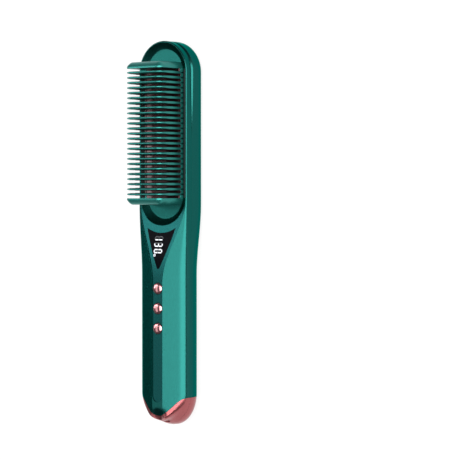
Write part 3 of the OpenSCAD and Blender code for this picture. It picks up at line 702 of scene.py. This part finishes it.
def build_body():
    """Makes the front shell, the back shell and the end cap from one outer skin."""
    bm = bmesh.new()
    skin(bm, body_ribs())
    whole = new_object("front_shell", bm)
    bm = bmesh.new()
    skin(bm, hollow_ribs())
    hollow = new_object("hollow", bm)
    for spot in SCREW_PLACES:
        cut(hollow, rod(spot, HEAD_R + BOSS_WALL, -1, 40))
    apply(whole, "BOOLEAN", operation="DIFFERENCE", object=hollow, solver="EXACT")
    bpy.data.objects.remove(hollow)

    def copy(name):
        twin = whole.copy()
        twin.data = whole.data.copy()
        twin.name = name
        bpy.context.scene.collection.objects.link(twin)
        return twin

    back, cap = copy("back_shell"), copy("end_cap_cover")
    bm = bmesh.new()
    cap_prism(bm, -JOINT_GAP)
    upper = new_object("cap_upper", bm)
    bm = bmesh.new()
    lower_prism(bm, -JOINT_GAP)
    apply(upper, "BOOLEAN", operation="UNION", object=new_object("cap_lower", bm), solver="EXACT")
    bm = bmesh.new()
    bm.from_mesh(upper.data)
    cut(cap, bm, "INTERSECT")
    for name in ("cap_upper", "cap_lower"):
        bpy.data.objects.remove(bpy.data.objects[name])

    bm = bmesh.new()
    cap_prism(bm, JOINT_GAP)
    cut(whole, bm)
    far, out, high = TIP_X + 12, 32, 70
    bm = bmesh.new()
    box(bm, (-far, -out, CUT_LOW_Z), (far, out, SEAM_Z + SEAM_GAP / 2))
    cut(whole, bm)
    bm = bmesh.new()
    box(bm, (-far, -out, SEAM_Z - SEAM_GAP / 2), (far, out, high))
    cut(back, bm)
    bm = bmesh.new()
    box(bm, (-far, -out, CUT_LOW_Z), (CAP_X + JOINT_GAP, out, high + 1))
    cut(back, bm)
    return whole, back, cap


front_shell, back_shell, cap_cover = build_body()

# Cuts in the front shell: the recess and the panel's seat
cutter = bmesh.new()
recess(cutter)
cut(front_shell, cutter)
cutter = bmesh.new()
build_panel_solid(cutter, 0.04, 6, 6 + PANEL_T + 0.1)
cut(front_shell, cutter)

# Cut in the end cap for the charging socket
SOCKET_GAP = 0.2
SLOT_W = SOCKET_HIGH[1] - SOCKET_LOW[1] + 2 * SOCKET_GAP
SLOT_H = SOCKET_HIGH[2] - SOCKET_LOW[2] + 2 * SOCKET_GAP
SOCKET_Z = (SOCKET_HIGH[2] + SOCKET_LOW[2]) / 2


def slot_outline(w, h, steps=12):
    """(y, z) points of a bar with round ends."""
    r = h / 2
    points = [(w / 2 - r + r * cos(t), r * sin(t)) for t in spread(-pi / 2, pi / 2, steps)]
    return points + [(-y, -z) for y, z in points]


def slot_bar(bm, x0, x1, w, h, z):
    ends = []
    for x in (x0, x1):
        ends.append([bm.verts.new((x * MM, y * MM, (z + dz) * MM)) for y, dz in slot_outline(w, h)])
    n = len(ends[0])
    for i in range(n):
        bm.faces.new((ends[0][i], ends[0][(i + 1) % n], ends[1][(i + 1) % n], ends[1][i]))
    bm.faces.new(ends[0][::-1])
    bm.faces.new(ends[1])


cutter = bmesh.new()
slot_bar(cutter, -TIP_X - 5, SOCKET_HIGH[0] + 0.5, SLOT_W, SLOT_H, SOCKET_Z)
cut(cap_cover, cutter)

for spot in SCREW_PLACES:
    bore = bmesh.new()
    profile = [(0, -1), (HEAD_BORE_R, -1), (HEAD_BORE_R, SCREW_SEAT_Z), (SHANK_BORE_R, SCREW_SEAT_Z)]
    profile += [(SHANK_BORE_R, SEAM_Z + 1), (0, SEAM_Z + 1)]
    lathe(bore, profile, spot, 40)
    cut(back_shell, bore)
    cut(front_shell, rod(spot, THREAD_BORE_R, SEAM_Z - 1, SCREW_SEAT_Z + 12.2))

finish_piece(front_shell, HOUSING, PEARL, ["front_housing"])
finish_piece(back_shell, HOUSING, PEARL, ["back_housing"])
finish_piece(cap_cover, HOUSING, ROSE, ["end_cap"])

# Panel, window and digits
bm = bmesh.new()
build_panel_solid(bm, 0, 0, PANEL_T, 0.12)
panel = new_object("panel_cover", bm)


def window_half(x):
    x1 = WINDOW_TIP_X + WINDOW_L + 4
    corner = facet_y(x1, top_z(x1)) - PANEL_LIP - WINDOW_BORDER
    x0 = WINDOW_TIP_X + 0.9 * WINDOW_TIP_R
    if x < x0:
        return sqrt(max(0, WINDOW_TIP_R**2 - (WINDOW_TIP_X + WINDOW_TIP_R - x) ** 2))
    t = (x - x0) / (x1 - x0)
    return mix(WINDOW_TIP_R, corner, t) + 4 * WINDOW_BULGE * t * (1 - t)


def window_corner():
    """Where the window's sides meet the arc that follows the recess."""
    x = NECK_X - WINDOW_ARC_R
    while circle_y(x, WINDOW_ARC_R) < window_half(x):
        x += 0.01
    return x


def build_window(bm, grow, top_add, depth, edge):
    xs = stations([WINDOW_TIP_X, NECK_X - WINDOW_ARC_R], window_corner() - 0.05)

    def inner(x):
        return max(0, circle_y(x, WINDOW_ARC_R) - grow) if x > NECK_X - WINDOW_ARC_R else 0

    def outer(x):
        return window_half(x) + grow

    plate(bm, xs, inner, outer, lambda x: top_z(x) - PANEL_SINK + top_add, depth, edge)


cutter = bmesh.new()
build_window(cutter, 0.04, 5, 5 + WINDOW_T, 0)
cut(panel, cutter)
window = bmesh.new()
build_window(window, 0, 0.02, WINDOW_T, 0.1)
bmesh.ops.remove_doubles(window, verts=window.verts, dist=2e-5)
bmesh.ops.holes_fill(window, edges=[e for e in window.edges if e.is_boundary])
window = new_object("lens", window)

# Bores of the buttons, through the panel and the shell
BUTTONS = {"power": "power_key", "heat_up": "heat_up_key", "heat_down": "heat_down_key"}
BUTTON_R = 4.1
BUTTON_GAP = 0.25
for name in BUTTONS:
    low, high = node_box(name + "_button")
    centre = ((low[0] + high[0]) / 2, 0)
    cutter = bmesh.new()
    lathe(cutter, [(0, 10), (BUTTON_R + BUTTON_GAP, 10), (BUTTON_R + BUTTON_GAP, 40), (0, 40)], centre)
    for shell in (panel, front_shell):
        tool = new_object("bore", cutter.copy())
        apply(shell, "BOOLEAN", operation="DIFFERENCE", object=tool, solver="EXACT")
        bpy.data.objects.remove(tool)
    cutter.free()

finish_piece(panel, HOUSING, PANEL, ["front_panel"])
finish_piece(window, HOUSING, LENS, ["display_window"])

# Digits: raised bars on the window, the lit ones and the unlit ones
SEGMENTS = {"1": "bc", "3": "abcdg", "0": "abcdef"}
DIGIT_RISE = 0.05
GHOST_RISE = 0.02
DIGIT_ROOT = 0.1
RING_STEPS = 24
RING_IN_R = 0.5
RING_OUT_R = 1.0


def segment_bars(letters):
    """Outlines of the named bars of a digit, as (across, up) points about its middle."""
    a, b = (DIGIT_W - BAR_W) / 2, (DIGIT_H - BAR_W) / 2
    places = {
        "a": (0, b, 0, a), "b": (a, b / 2, 1, b / 2), "c": (a, -b / 2, 1, b / 2), "d": (0, -b, 0, a),
        "e": (-a, -b / 2, 1, b / 2), "f": (-a, b / 2, 1, b / 2), "g": (0, 0, 0, a),
    }
    bars = []
    for letter in letters:
        cx, cy, upright, half = places[letter]
        tip, w = half - BAR_GAP, BAR_W / 2
        flat = tip - w
        shape = [(-tip, 0), (-flat, -w), (flat, -w), (tip, 0), (flat, w), (-flat, w)]
        bars.append([(cx - v, cy + u) if upright else (cx + u, cy + v) for u, v in shape])
    return bars


def raised(bm, outline, rise):
    """Thin raised shape on the window."""
    top, low = [], []
    for x, y in outline:
        z = top_z(x) - PANEL_SINK + 0.02
        top.append(bm.verts.new((x * MM, y * MM, (z + rise) * MM)))
        low.append(bm.verts.new((x * MM, y * MM, (z - DIGIT_ROOT) * MM)))
    bm.faces.new(top)
    bm.faces.new(low[::-1])
    n = len(outline)
    for i in range(n):
        bm.faces.new((low[i], low[(i + 1) % n], top[(i + 1) % n], top[i]))


def degree_ring(bm, x0, y0):
    """Small raised ring after the digits."""
    section = [(RING_IN_R, -DIGIT_ROOT), (RING_OUT_R, -DIGIT_ROOT)]
    section += [(RING_OUT_R, DIGIT_RISE), (RING_IN_R, DIGIT_RISE)]
    loops = []
    for r, lift in section:
        loop = []
        for i in range(RING_STEPS):
            x, y = x0 + r * cos(2 * pi * i / RING_STEPS), y0 + r * sin(2 * pi * i / RING_STEPS)
            loop.append(bm.verts.new((x * MM, y * MM, (top_z(x) - PANEL_SINK + 0.02 + lift) * MM)))
        loops.append(loop)
    for a, b in zip(loops, loops[1:] + loops[:1]):
        for i in range(RING_STEPS):
            j = (i + 1) % RING_STEPS
            bm.faces.new((a[i], a[j], b[j], b[i]))


def build_digits():
    lit, ghost = bmesh.new(), bmesh.new()
    for i, digit in enumerate("130"):
        cx = DIGITS_X - i * DIGIT_PITCH
        unlit = "".join(c for c in "abcdefg" if c not in SEGMENTS[digit])
        for letters, target, rise in ((SEGMENTS[digit], lit, DIGIT_RISE), (unlit, ghost, GHOST_RISE)):
            for bar in segment_bars(letters):
                raised(target, [(cx - u, DIGITS_Y - v) for u, v in bar], rise)
    degree_ring(lit, DIGITS_X - 2 * DIGIT_PITCH - DIGIT_W / 2 - 1.4, DIGITS_Y + DIGIT_H / 2 - 1)
    finish_piece(new_object("digits", lit), HOUSING, LIT, ["display_digits"])
    finish_piece(new_object("digit_ghosts", ghost), HOUSING, GHOST)


build_digits()

# Buttons
FLANGE_W = 0.9
FLANGE_T = 0.85
BUTTON_RISE = 1.25


def build_button(name, body):
    """Domed button on a flange that keeps it in its bore."""
    low, high = node_box(name + "_button")
    centre = ((low[0] + high[0]) / 2, 0)
    top = high[2]
    profile = [(0, top)]
    for t in spread(0, 1, 14)[1:]:
        profile.append((BUTTON_R * sin(t * pi / 2), top - BUTTON_RISE * (1 - cos(t * pi / 2) ** 1.15)))
    profile += [(BUTTON_R, low[2] + FLANGE_T), (BUTTON_R + FLANGE_W, low[2] + FLANGE_T)]
    profile += [(BUTTON_R + FLANGE_W, low[2]), (0, low[2])]
    bm = bmesh.new()
    lathe(bm, profile, centre, 72)
    finish_piece(new_object(name + "_cap", bm), body, BUTTON, [name + "_button"])


for name, body in BUTTONS.items():
    build_button(name, body)

# Comb guard


def corner_path(radius, half_width, rise, steps=9):
    """(y, z) points up one side, round the top corner and on to the middle."""
    points = [(half_width, z) for z in spread(0, rise - radius, 8)]
    for a in spread(0, pi / 2, steps)[1:]:
        points.append((half_width - radius + radius * cos(a), rise - radius + radius * sin(a)))
    return points + [(y, rise) for y in spread(half_width - radius, 0, 7)[1:]]


def u_tooth(bm, x):
    """Thin tooth: rows follow its outline inward, from the rim to the inner edge of the arch."""
    outer = corner_path(TOOTH_R, COMB_HW, TOOTH_RISE)
    inner = corner_path(TOOTH_INNER_R, COMB_HW - TOOTH_LEG, TOOTH_RISE - TOOTH_TIP)
    full = TOOTH_T / 2
    shares = (0, 0.05, 0.12, 0.25, 0.5, 1)
    sides = []
    for side in (1, -1):
        rows = []
        for s in shares:
            row = []
            for (oy, oz), (iy, iz) in zip(outer, inner):
                depth = s * sqrt((oy - iy) ** 2 + (oz - iz) ** 2)
                thin = min(1, 0.3 + 0.7 * (depth / TIP_DEPTH) ** 0.7) if depth < TIP_DEPTH else 1
                leg = min(1, 0.6 + 0.4 * (depth / LEG_EDGE) ** 0.6) if depth < LEG_EDGE else 1
                up = smooth((oz - (TOOTH_RISE - TOOTH_R - 4)) / 4)
                row.append((x + side * full * mix(leg, thin, up), mix(oy, iy, s), mix(oz, iz, s) + FLOOR_Z))
            rows.append(row)
        sides.append(rows)
    for mirror_y in (1, -1):
        made = []
        for rows in sides:
            layer = []
            for row in rows:
                layer.append([bm.verts.new((a * MM, mirror_y * b * MM, c * MM)) for a, b, c in row])
            made.append(layer)
        for rows in made:
            for a, b in zip(rows, rows[1:]):
                for i in range(len(a) - 1):
                    bm.faces.new((a[i], a[i + 1], b[i + 1], b[i]))
        for k in (0, -1):
            a, b = made[0][k], made[1][k]
            for i in range(len(a) - 1):
                bm.faces.new((a[i], a[i + 1], b[i + 1], b[i]))
        front, back = made
        bm.faces.new([row[0] for row in front] + [row[0] for row in reversed(back)])


def end_tooth(bm, way):
    """End tooth: a flat inner face, and an outer face that curves in toward the rim of the tip."""
    x_in = COMB_X + way * FIN_ROW_L / 2
    centre_x = HEAD_X if way > 0 else NECK_X
    ring_slope = RECESS_DEPTH / (RIM_R - FLOOR_R)
    outline = corner_path(TOOTH_R, COMB_HW, TOOTH_RISE, 12)
    depths = (0, 0.06, 0.2, 0.45, 0.8, 1.3, 1.9, 2.6, 3.5, END_TIP_DEPTH, END_TIP_DEPTH + 2)
    rows = []
    for d in depths:
        rise, half = TOOTH_RISE - d, COMB_HW - d
        path = corner_path(max(0.6, TOOTH_R - d), half, rise, 12)
        row = []
        for y, z in path:
            up = smooth((z - (TOOTH_RISE - 12)) / 7)
            tip = mix(0.24, 1, sin(min(1, d / END_TIP_DEPTH) * pi / 2) ** 0.8)
            leg = mix(0.4, 1, sin(min(1, d / 2.6) * pi / 2) ** 0.8)
            out = END_TOOTH_T * mix(leg, tip, up)
            row.append((out, y, z))
        rows.append(row)

    def placed(out, y, z):
        if z < RECESS_DEPTH:
            over = way * (x_in + way * out - centre_x)
            reach = FLOOR_R + z / ring_slope
            if over > 0:
                y = min(y, sqrt(max(0, reach**2 - over**2)))
        return x_in + way * out, y, z + FLOOR_Z

    rows.insert(0, [(0, y, z) for y, z in outline])
    sides = []
    for side in (1, -1):
        made = []
        for row in rows:
            points = [placed(*p) for p in row]
            made.append([bm.verts.new((a * MM, side * b * MM, c * MM)) for a, b, c in points])
        for a, b in zip(made, made[1:]):
            for i in range(len(a) - 1):
                bm.faces.new((a[i], a[i + 1], b[i + 1], b[i]))
        sides.append(made)
    plus, minus = sides
    for k in (0, -1):
        bm.faces.new(plus[k] + minus[k][::-1])
    bm.faces.new([row[0] for row in plus] + [row[0] for row in reversed(minus)])


def close_holes(bm):
    bmesh.ops.remove_doubles(bm, verts=bm.verts, dist=1e-7)
    bmesh.ops.dissolve_degenerate(bm, edges=bm.edges, dist=1e-7)
    bmesh.ops.holes_fill(bm, edges=[e for e in bm.edges if e.is_boundary])
    bmesh.ops.recalc_face_normals(bm, faces=bm.faces)


def add(target, source):
    """Moves what source holds into target."""
    mesh = bpy.data.meshes.new("part")
    source.to_mesh(mesh)
    source.free()
    target.from_mesh(mesh)
    bpy.data.meshes.remove(mesh)


def sweep_x(bm, section, x0, x1):
    """Closed section of (y, z) points swept along X."""
    ends = [[bm.verts.new((x * MM, y * MM, z * MM)) for y, z in section] for x in (x0, x1)]
    n = len(section)
    for i in range(n):
        bm.faces.new((ends[0][i], ends[0][(i + 1) % n], ends[1][(i + 1) % n], ends[1][i]))
    bm.faces.new(ends[0][::-1])
    bm.faces.new(ends[1])


def add_sweep(target, section, x0, x1):
    part = bmesh.new()
    sweep_x(part, section, x0, x1)
    close_holes(part)
    add(target, part)


TOOTH_XS = [COMB_X + (i - (TEETH - 1) / 2) * TOOTH_PITCH for i in range(TEETH)]
ROW_X0 = COMB_X - FIN_ROW_L / 2
ROW_X1 = COMB_X + FIN_ROW_L / 2
RAIL_EDGE = 0.3


def build_guard():
    """Thin teeth, the two end teeth, and a rail along each side."""
    guard = bmesh.new()
    for x in TOOTH_XS:
        part = bmesh.new()
        u_tooth(part, x)
        close_holes(part)
        add(guard, part)
    for way in (1, -1):
        part = bmesh.new()
        end_tooth(part, way)
        close_holes(part)
        add(guard, part)
    y0, y1 = COMB_HW - TOOTH_LEG, COMB_HW
    section = [(y0, 0), (y1, 0), (y1, RAIL_H - RAIL_EDGE), (y1 - 0.3 * RAIL_EDGE, RAIL_H - 0.3 * RAIL_EDGE)]
    section += [(y1 - RAIL_EDGE, RAIL_H), (y0, RAIL_H)]
    for side in (1, -1):
        add_sweep(guard, [(side * y, z + FLOOR_Z) for y, z in section], ROW_X0 - 0.5, ROW_X1 + 0.5)
    finish_piece(new_object("tooth_guard", guard), HOUSING, TEETH_PAINT, ["comb_guard"], sharp=25)


build_guard()

# Heated comb: a base with round shoulders, dark lips on the rails beside it that are painted shade, and a
# fin inside each tooth
CROWN = 1.2
CROWN_CURVE = 0.0142
SHOULDER = 0.8
FIN_R = TOOTH_R - TOOTH_LEG
SHADE_LIP_L = TOOTH_PITCH - TOOTH_T - 0.1


def crown_z(y):
    return BASE_TOP + CROWN - CROWN_CURVE * y * y / 2


def base_section():
    edge_y = FIN_HW - SHOULDER
    half = [(y, crown_z(y)) for y in spread(0, edge_y, 12)]
    for a in spread(0.2, pi / 2, 5):
        half.append((edge_y + SHOULDER * sin(a), crown_z(edge_y) - SHOULDER * (1 - cos(a))))
    half.append((FIN_HW, FLOOR_Z + 0.5))
    return half + [(-y, z) for y, z in reversed(half[1:])]


# Dark lip over a rail between two teeth: painted shade that hides the rail's lit top.
def shade_lip_section():
    z0 = FLOOR_Z + RAIL_H + 0.03
    shade_lip = [(FIN_HW - 0.4, z0), (COMB_HW - 0.1, z0), (COMB_HW - 0.15, z0 + 0.3), (COMB_HW - 0.5, z0 + 0.42)]
    return shade_lip + [(FIN_HW - 0.4, z0 + 0.45)]


def fin(bm, x):
    """One fin. Its rings are out of order across its thickness, so its skin crosses itself."""
    outline = [(FIN_HW, BASE_TOP - 2.5)]
    for a in spread(0, pi / 2, 8):
        outline.append((FIN_HW - FIN_R + FIN_R * cos(a), FIN_TOP - FIN_R + FIN_R * sin(a)))
    outline += [(-y, z) for y, z in reversed(outline)]
    layers = [(FIN_T / 2 - 0.35, 0), (FIN_T / 2 - 0.1, -0.1), (FIN_T / 2, -0.35)]
    order = [(-dx, g) for dx, g in layers] + [(dx, g) for dx, g in reversed(layers)]
    middle_z = (FIN_TOP + BASE_TOP) / 2
    made = []
    for dx, grow in order:
        k = 1 + grow / FIN_HW
        points = [(x + dx, y * k, z + (grow if z > middle_z else 0)) for y, z in outline]
        made.append([bm.verts.new((a * MM, b * MM, c * MM)) for a, b, c in points])
    n = len(outline)
    for a, b in zip(made, made[1:]):
        for i in range(n):
            bm.faces.new((a[i], a[(i + 1) % n], b[(i + 1) % n], b[i]))
    bm.faces.new(made[0][::-1])
    bm.faces.new(made[-1])


def build_comb():
    comb = bmesh.new()
    add_sweep(comb, base_section(), ROW_X0 + 0.1, ROW_X1 - 0.1)
    gaps = spread(COMB_X - TEETH / 2 * TOOTH_PITCH, COMB_X + TEETH / 2 * TOOTH_PITCH, TEETH)[1:-1]
    for x in gaps:
        for side in (1, -1):
            add_sweep(comb, [(side * y, z) for y, z in shade_lip_section()], x - SHADE_LIP_L / 2, x + SHADE_LIP_L / 2)
    for x in TOOTH_XS:
        part = bmesh.new()
        fin(part, x)
        close_holes(part)
        add(comb, part)
    finish_piece(new_object("heated_comb", comb), HOUSING, SHADED_MAROON, ["heater_comb"], sharp=40)


build_comb()

# Painted shade: a thin near-black sheet laid on the recess's ring where the comb shades it.
SHADE_SHEET_LIFT = 0.12


def build_shade_sheet():
    """Thin near-black sheet on the recess's ring, along the comb: painted shade where the comb shades the
    ring.
    """
    shade_sheet = bmesh.new()
    section = [(FLOOR_R + 0.06, FLOOR_Z + SHADE_SHEET_LIFT), (RIM_R - 0.55, RIDGE_Z - 0.36 + SHADE_SHEET_LIFT)]
    section += [(RIM_R - 0.3, RIDGE_Z - 0.3), (RIM_R - 0.4, RIDGE_Z - 0.62), (FLOOR_R + 0.3, FLOOR_Z + 0.08)]
    for side in (1, -1):
        add_sweep(shade_sheet, [(side * y, z) for y, z in section], ROW_X0 + 0.3, ROW_X1 - 0.3)
    finish_piece(new_object("ring_liner", shade_sheet), HOUSING, PAINTED_SHADE)


build_shade_sheet()

# Inner pieces keep their CAD shape and get their materials
INNER = {
    "display_module": BLACK_PLASTIC, "heater_gasket": SILICONE, "heating_element": CERAMIC,
    "insulation_sheet": MICA, "heater_clamp": STEEL, "heater_screws": DARK_STEEL,
    "thermistor": BLACK_PLASTIC, "thermal_fuse": CERAMIC, "heater_leads": RED_WIRE,
    "power_plunger": LIGHT_PLASTIC, "heat_up_plunger": LIGHT_PLASTIC, "heat_down_plunger": LIGHT_PLASTIC,
    "switch_bodies": BLACK_PLASTIC, "main_board": BOARD, "front_cell": SLEEVE, "rear_cell": SLEEVE,
    "cell_cradle": LIGHT_PLASTIC, "battery_leads": BLUE_WIRE, "charge_board": BOARD, "usb_socket": STEEL,
    "housing_screws": DARK_STEEL,
}
for node, mat in INNER.items():
    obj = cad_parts[node]
    obj.data.materials.clear()
    obj.data.materials.append(mat)

# Floor, lamps and camera


FLOOR_SIZE = 12
FLOOR_DROP = 0.0002
FLOOR_GREY = 0.18
FLOOR_GLOW = 0.8


def build_floor():
    """Grey floor with a glow that only the camera, mirrored rays and clear surfaces see."""
    bpy.ops.mesh.primitive_plane_add(size=FLOOR_SIZE, location=(0, 0, -FLOOR_DROP))
    floor = bpy.context.object
    floor.name = "floor"
    mat = bpy.data.materials.new("floor_white")
    mat.use_nodes = True
    nodes, links = mat.node_tree.nodes, mat.node_tree.links
    shader = nodes["Principled BSDF"]
    shader.inputs["Base Color"].default_value = (FLOOR_GREY, FLOOR_GREY, FLOOR_GREY, 1)
    shader.inputs["Roughness"].default_value = 0.9
    shader.inputs["Specular IOR Level"].default_value = 0.1
    rays = nodes.new("ShaderNodeLightPath")
    glow = nodes.new("ShaderNodeEmission")
    total = nodes.new("ShaderNodeAddShader")
    seen = None
    for name in ("Is Camera Ray", "Is Glossy Ray", "Is Transmission Ray"):
        if seen is None:
            seen = rays.outputs[name]
            continue
        both = nodes.new("ShaderNodeMath")
        both.operation = "MAXIMUM"
        links.new(seen, both.inputs[0])
        links.new(rays.outputs[name], both.inputs[1])
        seen = both.outputs[0]
    share = nodes.new("ShaderNodeMath")
    share.operation = "MULTIPLY"
    share.inputs[1].default_value = FLOOR_GLOW
    links.new(seen, share.inputs[0])
    links.new(share.outputs[0], glow.inputs["Strength"])
    links.new(shader.outputs["BSDF"], total.inputs[0])
    links.new(glow.outputs["Emission"], total.inputs[1])
    links.new(total.outputs["Shader"], nodes["Material Output"].inputs["Surface"])
    floor.data.materials.append(mat)


def lamp(name, place, aim, size, power, colour=(1, 1, 1)):
    """Soft rectangular lamp at a place, aimed at a point; both are in metres."""
    data = bpy.data.lights.new(name, "AREA")
    data.shape = "RECTANGLE"
    data.size, data.size_y = size
    data.energy = power
    data.color = colour
    obj = bpy.data.objects.new(name, data)
    obj.location = place
    obj.rotation_euler = (Vector(aim) - Vector(place)).to_track_quat("-Z", "Y").to_euler()
    bpy.context.scene.collection.objects.link(obj)


build_floor()
# Softbox straight above, long along the comb: the facet on the camera's side mirrors it
lamp("overhead", (-0.03, -0.06, 1.1), (-0.03, -0.06, 0), (0.85, 0.35), 4.1)
# Large softbox behind the camera: the rounded ridge mirrors it
lamp("ridge_light", (0, -1.51, 1.6), (0, 0, 0.02), (2.4, 2.7), 108)
# Dim panels beyond the comb: the flat strip and the head's face mirror them
lamp("strip_light", (-0.1, 0.85, 0.98), (0, 0, 0.02), (1.1, 0.45), 1.7)
lamp("face_light", (0.34, 0.85, 0.98), (0.1, 0, 0.02), (0.35, 0.45), 1.6)
# Low strip beyond the head: the comb's base mirrors it
lamp("low_strip", (0.17, 1.15, 0.61), (0.08, 0, 0.02), (0.45, 0.26), 2.1)

world = bpy.data.worlds.new("studio")
world.use_nodes = True
world.node_tree.nodes["Background"].inputs["Color"].default_value = (0.9, 0.95, 1, 1)
world.node_tree.nodes["Background"].inputs["Strength"].default_value = 0.12
bpy.context.scene.world = world

# Camera: it looks down from the -Y side, with the comb left of the middle of the picture
PIXEL_MM = 0.728
IMAGE_PX = 460
AXIS_PX = 162.6
ZERO_X_PX = 233.45
VIEW_UP = radians(49)
DISTANCE_MM = 1456
CAMERA_X = 28
SENSOR_MM = 36
camera_data = bpy.data.cameras.new("camera")
camera = bpy.data.objects.new("camera", camera_data)
bpy.context.scene.collection.objects.link(camera)
bpy.context.scene.camera = camera
back = Vector((0, -cos(VIEW_UP), sin(VIEW_UP)))
right = Vector((0, -sin(VIEW_UP), -cos(VIEW_UP)))
axis_point = Vector((0, 0, RIDGE_Z))
centre_x = (ZERO_X_PX - IMAGE_PX / 2) * PIXEL_MM
target = axis_point + Vector((centre_x, 0, 0)) + right * (IMAGE_PX / 2 - AXIS_PX) * PIXEL_MM
place = axis_point + Vector((CAMERA_X, 0, 0)) + back * DISTANCE_MM
look = (target - place).normalized()
side = look.cross(Vector((1, 0, 0))).normalized()
up = side.cross(look)
camera.matrix_world = Matrix(
    (
        (side.x, up.x, -look.x, place.x * MM),
        (side.y, up.y, -look.y, place.y * MM),
        (side.z, up.z, -look.z, place.z * MM),
        (0, 0, 0, 1),
    )
)
camera_data.sensor_width = SENSOR_MM
camera_data.lens = SENSOR_MM * DISTANCE_MM / (IMAGE_PX * PIXEL_MM)
bpy.context.scene.view_settings.view_transform = "Standard"
